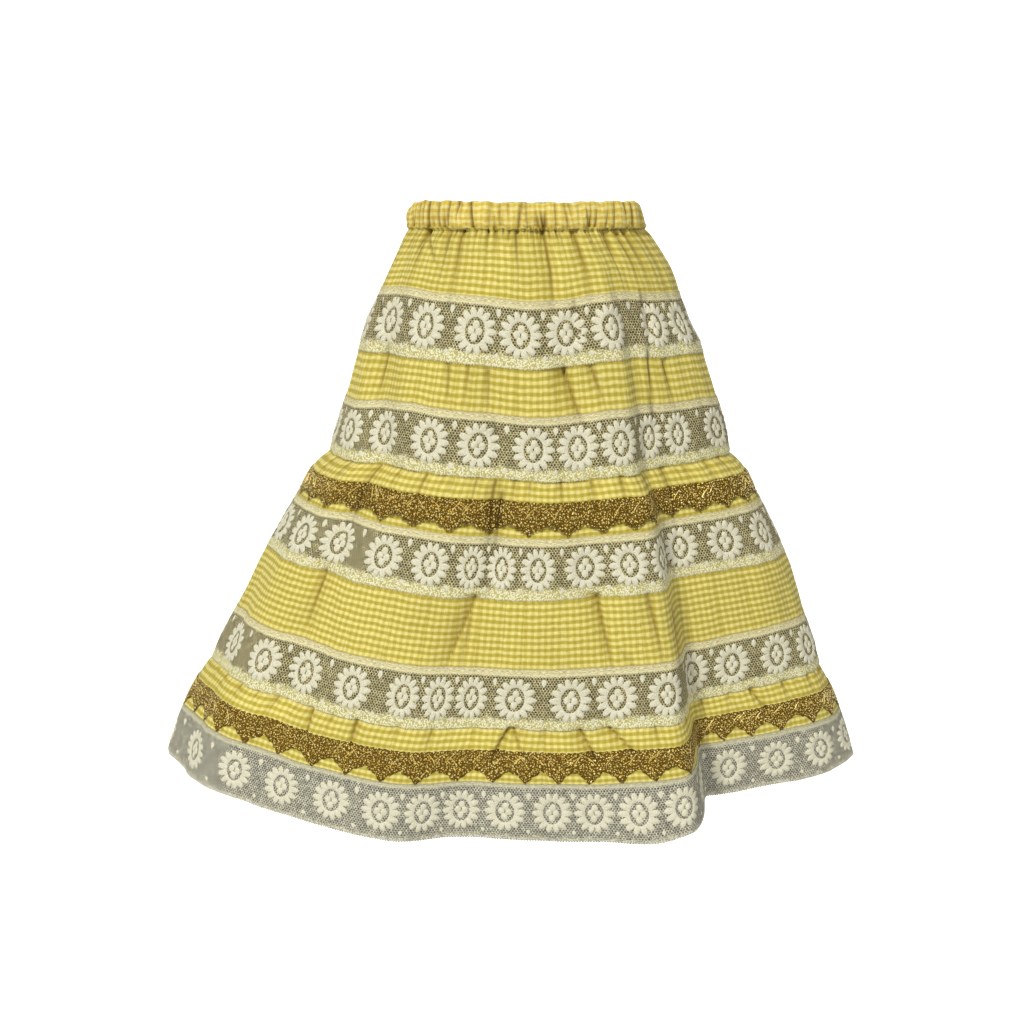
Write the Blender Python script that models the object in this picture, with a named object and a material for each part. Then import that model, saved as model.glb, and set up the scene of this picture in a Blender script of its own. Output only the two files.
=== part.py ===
# Three tier gathered skirt, filled out with no wearer, modelled in metres with +Z up.
# The origin is the middle of the waist's top edge, the front faces -Y and +X is the viewer's right.
# Every piece is a thin cloth wall. Its rings are read from one form: a table of sections gives
# the outline, a table of folds bends it, and short waves gather it under the casing and the seams.

import math

import bpy
import bmesh
from mathutils import Vector

# Cloth and seam sizes
COTTON = 0.0012
LACE = 0.0012
TRIM = 0.0013
CASING = 0.0030
SEAM_GAP = 0.0003
CASING_SWELL = 0.0030

# Points round each ring. A gold trim's repeat is a whole number of them.
TIER_1_POINTS = 128
TIER_2_SCALLOPS = 36
TIER_2_POINTS_PER_SCALLOP = 3
TIER_3_SCALLOPS = 52
TIER_3_POINTS_PER_SCALLOP = 2
OUTLINE_STEPS = 1440

# Sections of the form. At the sides the cloth flares, so it drops less than at the front.
# name, side drop, front drop, half width, half depth, centre x
SECTIONS = (
    ("waist_top", 0.000, -0.007, 0.1430, 0.1060, 0.000),
    ("casing_middle", 0.012, 0.009, 0.1450, 0.1080, 0.000),
    ("casing_foot", 0.025, 0.026, 0.1490, 0.1110, 0.001),
    ("gather_swell", 0.038, 0.039, 0.1565, 0.1160, 0.002),
    ("gather_fade", 0.070, 0.070, 0.1740, 0.1240, 0.006),
    ("lace_1_top", 0.103, 0.103, 0.1890, 0.1320, 0.007),
    ("lace_1_foot", 0.183, 0.187, 0.2210, 0.1470, 0.008),
    ("lace_2_top", 0.238, 0.233, 0.2400, 0.1550, 0.008),
    ("seam_1", 0.308, 0.314, 0.2610, 0.1640, 0.006),
    ("tier_2_swell", 0.318, 0.324, 0.2740, 0.1680, 0.005),
    ("trim_2_top", 0.332, 0.338, 0.2860, 0.1720, 0.004),
    ("trim_2_notch", 0.350, 0.360, 0.2970, 0.1750, 0.003),
    ("trim_2_point", 0.364, 0.377, 0.3040, 0.1770, 0.003),
    ("lace_3_top", 0.376, 0.389, 0.3100, 0.1780, 0.002),
    ("lace_3_foot", 0.443, 0.457, 0.3440, 0.1850, -0.001),
    ("lace_4_top", 0.528, 0.539, 0.3860, 0.1920, -0.005),
    ("seam_2", 0.597, 0.611, 0.4140, 0.1960, -0.012),
    ("tier_3_swell", 0.607, 0.621, 0.4210, 0.1990, -0.014),
    ("trim_3_top", 0.626, 0.638, 0.4320, 0.2020, -0.016),
    ("trim_3_notch", 0.644, 0.660, 0.4410, 0.2040, -0.017),
    ("trim_3_point", 0.659, 0.676, 0.4470, 0.2050, -0.018),
    ("lace_5_top", 0.670, 0.685, 0.4520, 0.2060, -0.018),
    ("hem", 0.724, 0.758, 0.4720, 0.2080, -0.019),
)

# Largest folds. A positive depth is a valley and a negative one a ridge that stands out.
# name, angle at waist, at seam 1, at hem, spread left, spread right,
# depth at waist, at seam 1, at seam 2, at hem
FOLDS = (
    ("left_side", -172, -166, -162, 12, 12, 0.000, 0.003, 0.010, 0.018),
    ("left_deep", -161, -136, -134, 7, 8, 0.004, 0.015, 0.010, 0.004),
    ("left_front_swell", -112, -109, -108, 12, 9, 0.000, -0.002, -0.006, -0.012),
    ("left_front_soft", -104, -100, -98, 6, 7, 0.001, 0.003, 0.008, 0.013),
    ("centre", -84, -76, -74, 5, 6, 0.003, 0.006, 0.004, 0.004),
    ("right_ridge", -63, -63, -63, 16, 4, 0.000, -0.003, -0.014, -0.024),
    ("right_deep", -56, -55, -54, 4, 31, 0.002, 0.022, 0.048, 0.063),
    ("back_right_soft", 20, 24, 27, 8, 10, 0.002, 0.008, 0.015, 0.021),
    ("back_right_deep", 48, 52, 55, 6, 9, 0.003, 0.012, 0.022, 0.032),
    ("back_right_swell", 68, 69, 70, 8, 8, 0.000, -0.004, -0.008, -0.012),
    ("back_middle", 90, 87, 85, 6, 7, 0.003, 0.010, 0.016, 0.022),
    ("back_left_deep", 118, 123, 126, 8, 6, 0.003, 0.013, 0.024, 0.034),
    ("back_left_swell", 136, 139, 141, 7, 7, 0.000, -0.003, -0.006, -0.009),
    ("back_left_soft", 150, 155, 158, 8, 8, 0.002, 0.008, 0.013, 0.018),
)

# Height of the gathers at each section, half of it out and half of it in.
GATHER_HEIGHTS = {
    "waist_top": 0.0016,
    "casing_middle": 0.0030,
    "casing_foot": 0.0020,
    "gather_swell": 0.0052,
    "gather_fade": 0.0036,
    "lace_1_top": 0.0016,
    "seam_1": 0.0022,
    "tier_2_swell": 0.0064,
    "trim_2_top": 0.0044,
    "trim_2_notch": 0.0030,
    "trim_2_point": 0.0024,
    "lace_3_top": 0.0020,
    "seam_2": 0.0022,
    "tier_3_swell": 0.0066,
    "trim_3_top": 0.0044,
    "trim_3_notch": 0.0030,
    "trim_3_point": 0.0024,
    "lace_5_top": 0.0018,
}

# Finish of each material: colour, roughness, metallic
GINGHAM_FINISH = ((0.61, 0.51, 0.12), 0.85, 0.0)
LACE_FINISH = ((0.66, 0.62, 0.47), 0.80, 0.0)
GOLD_FINISH = ((0.28, 0.19, 0.03), 0.40, 0.8)


def clear_scene():
    for thing in list(bpy.data.objects):
        bpy.data.objects.remove(thing, do_unlink=True)


def make_material(name, finish):
    colour, roughness, metallic = finish
    material = bpy.data.materials.new(name)
    material.use_nodes = True
    shader = material.node_tree.nodes["Principled BSDF"]
    shader.inputs["Base Color"].default_value = (*colour, 1.0)
    shader.inputs["Roughness"].default_value = roughness
    shader.inputs["Metallic"].default_value = metallic
    material.diffuse_color = (*colour, 1.0)
    return material


def section(name):
    """The row of the section table with this name, without the name."""
    return next(row[1:] for row in SECTIONS if row[0] == name)


def between(value, places, amounts):
    """Amount at a value, on straight lines between the places."""
    for k in range(len(places) - 1):
        if value <= places[k + 1]:
            share = (value - places[k]) / (places[k + 1] - places[k])
            return amounts[k] + (amounts[k + 1] - amounts[k]) * max(share, 0.0)
    return amounts[-1]


LEVELS = tuple(section(name)[1] for name in ("waist_top", "seam_1", "seam_2", "hem"))


def fold_height(angle, drop):
    """How far the folds move the cloth out at an angle in degrees, at a front drop."""
    height = 0.0
    for row in FOLDS:
        angles, spreads, depths = row[1:4], row[4:6], row[6:10]
        middle = between(drop, (LEVELS[0], LEVELS[1], LEVELS[3]), angles)
        away = (angle - middle + 180.0) % 360.0 - 180.0
        spread = spreads[0] if away < 0.0 else spreads[1]
        height -= between(drop, LEVELS, depths) * math.exp(-((away / spread) ** 2))
    return height


def form_point(name, angle, out):
    """Point of a section at an angle in degrees, moved out from its ellipse."""
    side_drop, front_drop, half_width, half_depth, centre = section(name)
    turn = math.radians(angle)
    facing = Vector((math.cos(turn) / half_width, math.sin(turn) / half_depth)).normalized()
    out += fold_height(angle, front_drop)
    drop = side_drop + (front_drop - side_drop) * math.sin(turn) ** 2
    return Vector((
        centre + half_width * math.cos(turn) + out * facing.x,
        half_depth * math.sin(turn) + out * facing.y,
        -drop,
    ))


def ring_angles(name, count):
    """Angles that divide a section's folded outline into equal lengths of cloth."""
    steps = [360.0 * k / OUTLINE_STEPS for k in range(OUTLINE_STEPS + 1)]
    outline = [form_point(name, angle, 0.0) for angle in steps]
    lengths = [0.0]
    for k in range(OUTLINE_STEPS):
        lengths.append(lengths[-1] + (outline[k + 1] - outline[k]).length)
    return [between(lengths[-1] * k / count, lengths, steps) for k in range(count)]


def unevenness(k, tier):
    """Size of one gather against the mean one, between about 0.4 and 1.6."""
    return 1.0 + 0.36 * math.sin(2.4 * k + tier) + 0.24 * math.sin(0.83 * k + 2.0 * tier)


def gather(k, points_per_wave, tier):
    """Place of ring point k on its gather, from -0.5 in a trough to 0.5 on a crest."""
    crest = 0.5 if k % points_per_wave == 0 else -0.5 / (points_per_wave - 1)
    return crest * unevenness(k // points_per_wave, tier)


def surface_rows(names, angles, points_per_wave, tier):
    """Rings of points of the cloth's outer face, one for each named section."""
    rows = []
    for name in names:
        height = GATHER_HEIGHTS.get(name, 0.0)
        rows.append([
            form_point(name, angle, height * gather(k, points_per_wave, tier))
            for k, angle in enumerate(angles)
        ])
    return rows


def outward_normals(rows):
    """A normal for each point of the rings, from the points beside, above and below it."""
    count = len(rows[0])
    normals = []
    for j, row in enumerate(rows):
        above, below = rows[max(j - 1, 0)], rows[min(j + 1, len(rows) - 1)]
        normals.append([
            (row[(k + 1) % count] - row[k - 1]).cross(above[k] - below[k]).normalized()
            for k in range(count)
        ])
    return normals


def offset_rows(rows, normals, distance):
    return [[p + n * distance for p, n in zip(row, ns)] for row, ns in zip(rows, normals)]


def level_ends(outer, inner):
    """Wall faces with level rims, each drawn in by half a seam gap."""
    faces = [list(row) for row in outer], [list(row) for row in inner]
    for end, beside, drawn_in in ((0, 1, -SEAM_GAP / 2), (-1, -2, SEAM_GAP / 2)):
        heights = [p.z + drawn_in for p in outer[end]]
        for face in faces:
            face[end] = [
                p + (q - p) * ((height - p.z) / (q.z - p.z))
                for p, q, height in zip(face[end], face[beside], heights)
            ]
    return faces


def leans_right(k, points_per_wave):
    """Whether the square right of ring point k is split from its upper left corner."""
    return k % points_per_wave == points_per_wave - 1


def add_square(bm, upper_left, upper_right, lower_left, lower_right, to_right):
    """Two triangles that face the side from which the corners' names are read."""
    if to_right:
        bm.faces.new((upper_left, lower_left, lower_right))
        bm.faces.new((upper_left, lower_right, upper_right))
    else:
        bm.faces.new((upper_left, lower_left, upper_right))
        bm.faces.new((upper_right, lower_left, lower_right))


def add_object(name, bm, material):
    bmesh.ops.recalc_face_normals(bm, faces=bm.faces)
    mesh = bpy.data.meshes.new(name)
    bm.to_mesh(mesh)
    bm.free()
    mesh.shade_smooth()
    mesh.set_sharp_from_angle(angle=math.radians(50))
    mesh.materials.append(material)
    thing = bpy.data.objects.new(name, mesh)
    bpy.context.scene.collection.objects.link(thing)
    return thing


def make_wall(name, outer, inner, points_per_wave, material):
    """Closed wall between an outer and an inner face of rings."""
    bm = bmesh.new()
    outside = [[bm.verts.new(p) for p in row] for row in outer]
    inside = [[bm.verts.new(p) for p in row] for row in inner]
    count = len(outer[0])
    for k in range(count):
        right = (k + 1) % count
        split = leans_right(k, points_per_wave)
        for j in range(len(outer) - 1):
            for face in (outside, inside):
                add_square(bm, face[j][k], face[j][right], face[j + 1][k], face[j + 1][right], split)
        for j in (0, -1):
            add_square(bm, inside[j][k], inside[j][right], outside[j][k], outside[j][right], split)
    return add_object(name, bm, material)


def make_scalloped_trim(name, outer, inner, points_per_scallop, material):
    """Band between the first two rings, with points that hang to the third."""
    bm = bmesh.new()
    outside = [[bm.verts.new(p) for p in row] for row in outer[:2]]
    inside = [[bm.verts.new(p) for p in row] for row in inner[:2]]
    count = len(outer[0])
    tips = {
        k: (bm.verts.new(outer[2][k]), bm.verts.new(inner[2][k]))
        for k in range(0, count, points_per_scallop)
    }
    for k in range(count):
        right = (k + 1) % count
        split = leans_right(k, points_per_scallop)
        for face in (outside, inside):
            add_square(bm, face[0][k], face[0][right], face[1][k], face[1][right], split)
        add_square(bm, inside[0][k], inside[0][right], outside[0][k], outside[0][right], split)
        edge = ((outside[1][k], inside[1][k]), (outside[1][right], inside[1][right]))
        tip = tips.get(k) or tips.get(right)
        if tip is None:
            bm.faces.new((edge[0][0], edge[1][0], edge[1][1]))
            bm.faces.new((edge[0][0], edge[1][1], edge[0][1]))
            continue
        for side in (0, 1):
            bm.faces.new((edge[0][side], edge[1][side], tip[side]))
        low = edge[1] if k in tips else edge[0]
        bm.faces.new((low[0], tip[0], tip[1]))
        bm.faces.new((low[0], tip[1], low[1]))
    return add_object(name, bm, material)


def every_other(rows):
    return [row[::2] for row in rows]


def make_tier(names, angles, points_per_wave, tier):
    """Outer rings of one tier with their normals, each keyed by its section's name."""
    rows = surface_rows(names, angles, points_per_wave, tier)
    normals = outward_normals(rows)
    return {name: (row, ns) for name, row, ns in zip(names, rows, normals)}


def make_piece(name, rings, names, thickness, points_per_wave, material, thin=False):
    rows = [rings[ring][0] for ring in names]
    normals = [rings[ring][1] for ring in names]
    outer, inner = level_ends(rows, offset_rows(rows, normals, -thickness))
    if thin:
        outer, inner = every_other(outer), every_other(inner)
    return make_wall(name, outer, inner, points_per_wave, material)


def make_trim(name, rings, names, points_per_scallop, material):
    rows = [rings[ring][0] for ring in names]
    normals = [rings[ring][1] for ring in names]
    inner = offset_rows(rows, normals, SEAM_GAP)
    outer = offset_rows(rows, normals, SEAM_GAP + TRIM)
    return make_scalloped_trim(name, outer, inner, points_per_scallop, material)


def make_skirt():
    gingham = make_material("gingham_cotton", GINGHAM_FINISH)
    lace = make_material("daisy_lace", LACE_FINISH)
    gold = make_material("antique_gold_trim", GOLD_FINISH)

    casing = ("waist_top", "casing_middle", "casing_foot")
    upper = ("casing_foot", "gather_swell", "gather_fade", "lace_1_top")
    lower = ("lace_1_top", "lace_1_foot", "lace_2_top", "seam_1")
    angles = ring_angles("lace_1_top", TIER_1_POINTS)
    rings = make_tier(casing + upper[1:] + lower[1:], angles, 2, 1)
    swollen = outward_normals([rings[name][0] for name in casing])
    rings["casing_middle"] = (
        [p + n * CASING_SWELL for p, n in zip(rings["casing_middle"][0], swollen[1])],
        swollen[1],
    )
    make_piece("waistband", rings, casing, CASING, 2, gingham)
    make_piece("tier1_upper_panel", rings, upper, COTTON, 2, gingham)
    make_piece("lace_1", rings, lower[:2], LACE, 2, lace, thin=True)
    make_piece("tier1_lower_panel", rings, lower[1:3], COTTON, 2, gingham, thin=True)
    make_piece("lace_2", rings, lower[2:], LACE, 2, lace, thin=True)

    upper = ("seam_1", "tier_2_swell", "trim_2_top", "trim_2_notch", "trim_2_point", "lace_3_top")
    lower = ("lace_3_top", "lace_3_foot", "lace_4_top", "seam_2")
    step = TIER_2_POINTS_PER_SCALLOP
    angles = ring_angles("lace_3_foot", TIER_2_SCALLOPS * step)
    rings = make_tier(upper + lower[1:], angles, step, 2)
    make_piece("tier2_upper_panel", rings, upper, COTTON, step, gingham)
    make_trim("gold_trim_2", rings, upper[2:5], step, gold)
    make_piece("lace_3", rings, lower[:2], LACE, step, lace)
    make_piece("tier2_lower_panel", rings, lower[1:3], COTTON, step, gingham)
    make_piece("lace_4", rings, lower[2:], LACE, step, lace)

    upper = ("seam_2", "tier_3_swell", "trim_3_top", "trim_3_notch", "trim_3_point", "lace_5_top")
    step = TIER_3_POINTS_PER_SCALLOP
    angles = ring_angles("lace_5_top", TIER_3_SCALLOPS * step)
    rings = make_tier(upper + ("hem",), angles, step, 3)
    make_piece("tier3_panel", rings, upper, COTTON, step, gingham)
    make_trim("gold_trim_3", rings, upper[2:5], step, gold)
    make_piece("lace_5", rings, ("lace_5_top", "hem"), LACE, step, lace)


clear_scene()
make_skirt()
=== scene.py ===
# %% [markdown]
# # A three tier gathered cotton skirt
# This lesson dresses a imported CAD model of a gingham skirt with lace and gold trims.
# The CAD model gives the sizes, and every piece made here is laid on the same form.
# The skirt is filled out as if a soft body held it, with its waist and hem open.

import functools
import math

import bpy
import numpy as np
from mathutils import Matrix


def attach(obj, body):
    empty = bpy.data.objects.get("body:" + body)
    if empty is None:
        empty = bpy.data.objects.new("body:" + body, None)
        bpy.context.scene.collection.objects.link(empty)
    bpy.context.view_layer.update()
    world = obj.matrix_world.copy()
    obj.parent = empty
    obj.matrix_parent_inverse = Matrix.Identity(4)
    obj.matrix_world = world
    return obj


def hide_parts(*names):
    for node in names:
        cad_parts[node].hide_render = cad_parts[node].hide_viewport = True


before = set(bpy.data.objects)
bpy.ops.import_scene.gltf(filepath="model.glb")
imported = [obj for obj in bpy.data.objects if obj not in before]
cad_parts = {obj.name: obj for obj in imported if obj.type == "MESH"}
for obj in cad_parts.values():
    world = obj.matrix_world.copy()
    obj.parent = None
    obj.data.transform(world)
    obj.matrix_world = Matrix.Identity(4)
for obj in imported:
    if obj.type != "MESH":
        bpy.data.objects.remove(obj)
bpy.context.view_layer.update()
print("CAD nodes:", len(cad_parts))

# %% [markdown]
# ## The camera
# The photograph looks down on a skirt that hangs at eye height to its waist: the far rim
# of the waist is hidden, and the hem opens into a wide curve. A camera could be aimed by
# a constraint, but here its place is worked out. A point as high as the camera always
# falls on the horizon, and the waist lies 207 pixels below the top of the photograph.
# The tilt then follows from the focal length in pixels.

# %% Place the camera
PHOTO_SIDE = 1024
SENSOR_WIDTH = 36.0
FOCAL_PIXELS = 1250.0
HORIZON_ROW = 207.0
EYE = (-0.016, -1.6, 0.0)

tilt_down = math.atan((PHOTO_SIDE / 2 - HORIZON_ROW) / FOCAL_PIXELS)
camera_lens = bpy.data.cameras.new("camera")
camera_lens.sensor_width = SENSOR_WIDTH
camera_lens.lens = FOCAL_PIXELS / PHOTO_SIDE * SENSOR_WIDTH
camera = bpy.data.objects.new("camera", camera_lens)
camera.location = EYE
camera.rotation_euler = (math.pi / 2 - tilt_down, 0, 0)
bpy.context.scene.collection.objects.link(camera)
bpy.context.scene.camera = camera
print("camera tilts down", round(math.degrees(tilt_down), 2), "degrees")

# %% [markdown]
# ## The form under the cloth
# A full skirt is a soft cone that widens at each tier, where more cloth is gathered in.
# It could be sculpted, but a table of sections is easier to correct: each row gives how
# far below the waist the cloth has come at the sides and at the front, how wide and how
# deep the ring is there, and how far its middle has moved sideways. The numbers are the
# ones that the CAD source has, in millimetres. Every piece of cloth below is laid on this form.

# %% Write down the sections
SECTIONS = (
    # side drop, front drop, half width, half depth, centre x
    (0, -7, 143, 106, 0),
    (12, 9, 145, 108, 0),
    (25, 26, 149, 111, 1),
    (38, 39, 156.5, 116, 2),
    (70, 70, 174, 124, 6),
    (103, 103, 189, 132, 7),
    (183, 187, 221, 147, 8),
    (238, 233, 240, 155, 8),
    (308, 314, 261, 164, 6),
    (318, 324, 274, 168, 5),
    (332, 338, 286, 172, 4),
    (350, 360, 297, 175, 3),
    (364, 377, 304, 177, 3),
    (376, 389, 310, 178, 2),
    (443, 457, 344, 185, -1),
    (528, 539, 386, 192, -5),
    (597, 611, 414, 196, -12),
    (607, 621, 421, 199, -14),
    (626, 638, 432, 202, -16),
    (644, 660, 441, 204, -17),
    (659, 676, 447, 205, -18),
    (670, 685, 452, 206, -18),
    (724, 758, 472, 208, -19),
)
WAIST_TOP = -0.007
CASING_FOOT = 0.026
SEAM_1 = 0.314
SEAM_2 = 0.611
HEM = 0.758
MILLIMETRE = 0.001
ROUNDING = 8

drops = np.round(np.arange(WAIST_TOP, HEM + MILLIMETRE / 2, MILLIMETRE), 3)
section_table = np.array(SECTIONS) / 1000
seam_rows = [0, *(int(np.argmin(abs(drops - seam))) for seam in (SEAM_1, SEAM_2)), len(drops) - 1]


def rounded(column):
    """One column of the table at every millimetre of drop, rounded off, with a corner at each seam."""
    fine = np.interp(drops, section_table[:, 1], section_table[:, column])
    window = np.hanning(2 * ROUNDING + 3)[1:-1]
    window = window / window.sum()
    for first, last in zip(seam_rows, seam_rows[1:]):
        tier = fine[first:last + 1].copy()
        before = 2 * tier[0] - tier[ROUNDING:0:-1]
        after = 2 * tier[-1] - tier[-2:-ROUNDING - 2:-1]
        fine[first:last + 1] = np.convolve(np.concatenate([before, tier, after]), window, "valid")
    return fine


side_drop, half_width, half_depth, centre_x = (rounded(column) for column in (0, 2, 3, 4))
print("form sampled at", len(drops), "drops, widest", round(float(half_width.max()) * 2, 3), "m")

# %% [markdown]
# ## The deep folds
# The gathered cloth of the lower tiers falls into folds that start small at the waist and
# grow to the hem. Cloth simulation makes folds, but never the ones in the photograph, so
# the main ones are listed one by one: an angle round the form (-90 degrees is the front, 0
# the right), a spread to each side, and a depth at four levels. A ridge has a depth
# below nought. The folds at the back can't be seen, and are of the same kind and size.
# Depths are in millimetres.

# %% Write down the deep folds
FOLDS = (
    # angle at the waist, at seam 1, at the hem, spread left, spread right,
    # depth at the waist, at seam 1, at seam 2, at the hem
    (-172, -166, -162, 12, 12, 0, 3, 10, 18),
    (-161, -136, -134, 7, 8, 4, 15, 10, 4),
    (-112, -109, -108, 12, 9, 0, -2, -6, -12),
    (-104, -100, -98, 6, 7, 1, 3, 8, 13),
    (-84, -76, -74, 5, 6, 3, 6, 4, 4),
    (-63, -63, -63, 16, 4, 0, -3, -14, -24),
    (-56, -55, -54, 4, 31, 2, 22, 48, 63),
    (20, 24, 27, 8, 10, 2, 8, 15, 21),
    (48, 52, 55, 6, 9, 3, 12, 22, 32),
    (68, 69, 70, 8, 8, 0, -4, -8, -12),
    (90, 87, 85, 6, 7, 3, 10, 16, 22),
    (118, 123, 126, 8, 6, 3, 13, 24, 34),
    (136, 139, 141, 7, 7, 0, -3, -6, -9),
    (150, 155, 158, 8, 8, 2, 8, 13, 18),
)
ANGLE_STEP = 0.1
angles = np.arange(-180.0, 180.0, ANGLE_STEP)
drop_grid, angle_grid = np.meshgrid(drops, angles, indexing="ij")


def turn(angle, from_angle):
    """Degrees from one angle to another, the short way round."""
    return (angle - from_angle + 180.0) % 360.0 - 180.0


cloth_out = np.zeros(drop_grid.shape)
for fold in FOLDS:
    middle = np.interp(drop_grid, (WAIST_TOP, SEAM_1, HEM), fold[0:3])
    away = turn(angle_grid, middle)
    spread = np.where(away < 0, fold[3], fold[4])
    depth = np.interp(drop_grid, (WAIST_TOP, SEAM_1, SEAM_2, HEM), np.array(fold[5:9]) / 1000)
    cloth_out -= depth * np.exp(-((away / spread) ** 2))
print("deepest fold", round(float(-cloth_out.min()) * 1000), "mm")

# %% [markdown]
# ## Where the cloth goes round the form
# A strip of cloth goes round the ring by its own length, not by the angle: more of it
# lies in a fold than beside one. So each ring is measured along its folds, and a share of
# its length, from -0.5 at the back to 0 at the front and 0.5 at the back again, is turned
# into an angle. A check or a daisy drawn on the flat strip then keeps its width.

# %% Measure the rings
SHARE_STEPS = 1440
BACK = 90.0


def ring_points(row, at_angles, out):
    """Points of the form at one row of drops, moved out by an amount."""
    t = np.radians(at_angles)
    across, along = np.cos(t) / half_width[row], np.sin(t) / half_depth[row]
    size = np.hypot(across, along)
    return np.column_stack([
        centre_x[row] + half_width[row] * np.cos(t) + out * across / size,
        half_depth[row] * np.sin(t) + out * along / size,
    ])


shares = np.linspace(-0.5, 0.5, SHARE_STEPS + 1)
round_angles = np.arange(BACK - 360.0, BACK + ANGLE_STEP / 2, ANGLE_STEP)
wrapped = np.round((round_angles + 180.0) / ANGLE_STEP).astype(int) % len(angles)
front_place = int(np.argmin(abs(round_angles + 90.0)))
share_angles = np.zeros((len(drops), len(shares)))
ring_lengths = np.zeros(len(drops))
for row in range(len(drops)):
    ring = ring_points(row, round_angles, cloth_out[row, wrapped])
    walked = np.concatenate([[0.0], np.cumsum(np.hypot(*np.diff(ring, axis=0).T))])
    ring_lengths[row] = walked[-1]
    left_share = 0.5 * (walked[:front_place] / walked[front_place] - 1.0)
    right_share = 0.5 * (walked[front_place:] - walked[front_place]) / (walked[-1] - walked[front_place])
    share_angles[row] = np.interp(shares, np.concatenate([left_share, right_share]), round_angles)
for name, drop in (("waist", WAIST_TOP), ("seam 1", SEAM_1), ("seam 2", SEAM_2), ("hem", HEM)):
    print("ring at the", name, round(float(np.interp(drop, drops, ring_lengths)), 3), "m")

# %% [markdown]
# ## Pleats
# A tier takes more cloth than shows: the gathers swallow the rest in pleats that start at
# the casing or the seam and run down the tier. Each is a sharp valley, often with one
# steep side, deep where it starts and faint further down. The ones in front are placed
# where the photograph has them. The rest follow a rule with the same spacing and
# unevenness, and a fixed seed. A pleat keeps its place in the cloth, so it is kept as a
# share of the ring, and the checks jump there by as much cloth as it has swallowed.
# Pleats and creases also darken the colour of the cloth along their valleys: that is painted shade.

# %% Press in the pleats
PLEAT_SEED = 11
PLEATS = (
    # tier top, tier foot, degrees between pleats, then listed one by one:
    # angle, then depth, length, reach left and reach right in mm
    (0.0265, 0.314, 8.4, (
        (-178, 4, 130, 5, 5), (-167, 4, 70, 5, 3), (-156, 4, 50, 3, 4),
        (-144, 6, 90, 3, 6), (-136, 3, 40, 3, 3), (-128, 5, 80, 3, 5),
        (-121, 5, 130, 4, 6), (-114, 2.6, 30, 3, 3), (-108, 4, 45, 2.5, 2.5),
        (-104, 3.6, 40, 2.5, 2.5), (-95, 6, 70, 3, 5), (-87, 4, 30, 3, 3),
        (-82, 7, 140, 7, 3), (-75, 3, 40, 3, 3), (-68, 6, 120, 6, 3),
        (-60, 3.4, 50, 3, 4), (-51, 6, 80, 4, 4), (-43, 3, 40, 3, 3),
        (-35, 6, 100, 6, 3), (-29, 3, 40, 3, 3), (-23, 5, 70, 4, 4),
        (-15, 3.4, 50, 3, 3), (-8, 5, 90, 5, 3),
    )),
    (0.314, 0.611, 7.6, (
        (-172, 3, 40, 3, 3), (-162, 4, 50, 3, 4), (-150, 4, 40, 4, 3),
        (-137, 5, 180, 6, 6), (-127, 3.4, 40, 3, 3), (-118, 4.6, 50, 5, 3),
        (-110, 3, 30, 3, 3), (-104, 4, 40, 3, 3), (-99, 5, 190, 4, 7),
        (-94, 3.4, 40, 3, 3), (-90, 3.4, 36, 3, 3), (-82, 4, 36, 3, 3),
        (-74, 4.6, 40, 3, 3), (-66, 4.6, 44, 4, 3), (-58, 3.6, 50, 3, 4),
        (-49, 4, 170, 4, 7), (-40, 3.4, 40, 3, 3), (-30, 4, 50, 4, 3),
        (-20, 3.4, 40, 3, 3), (-9, 4, 60, 3, 4),
    )),
    (0.611, 0.700, 7.0, (
        (-165, 3.6, 30, 3, 3), (-157, 3.6, 24, 3, 3), (-148, 4.6, 30, 3, 5),
        (-142, 3, 20, 3, 3), (-137, 4.6, 30, 4, 3), (-123, 3.2, 24, 3, 3),
        (-110, 3.6, 26, 3, 3), (-104, 4.6, 34, 4, 3), (-97, 3, 20, 3, 3),
        (-85, 3.4, 26, 3, 3), (-66, 4, 28, 3, 4), (-59, 3.4, 24, 3, 3),
        (-52, 4.6, 30, 3, 4), (-45, 3.4, 22, 3, 3), (-28, 4.6, 28, 4, 3),
        (-17, 3.6, 30, 3, 3), (-6, 4.6, 30, 3, 4),
    )),
)
PLEAT_FULLNESS = 1.45
PLEAT_SPREAD = 1.5
HIDDEN_END = 178.0
PLEAT_STAYS = 0.10
PLEAT_FOOT = 0.010
PAINTED_SHADE_LINE = 1.8
PAINTED_SHADE_FULL_DEPTH = 6.0
dice = np.random.default_rng(PLEAT_SEED)
cloth_painted_shade = np.zeros(drop_grid.shape)


def press(rows, line, depths, left, right):
    """Takes a sharp valley out of the cloth along a line of angles, one for each row, and paints shade
    along it.
    """
    t = np.radians(angles)[None, :]
    per_degree = np.radians(1) * np.hypot(
        half_width[rows][:, None] * np.sin(t), half_depth[rows][:, None] * np.cos(t)) / MILLIMETRE
    away = turn(angles[None, :], line[:, None]) * per_degree
    valley = np.exp(-np.abs(away) / np.where(away < 0, left, right))
    cloth_out[rows] -= depths[:, None] * MILLIMETRE * valley
    # Painted shade: a dark line along the valley and a fainter tail, which the materials mix into the
    # colour of the cloth.
    strength = np.clip(depths / PAINTED_SHADE_FULL_DEPTH, 0.0, 1.0)[:, None]
    dark = strength * (0.6 * np.exp(-(away / PAINTED_SHADE_LINE) ** 2) + 0.4 * valley)
    cloth_painted_shade[rows] = np.maximum(cloth_painted_shade[rows], dark)


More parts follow.
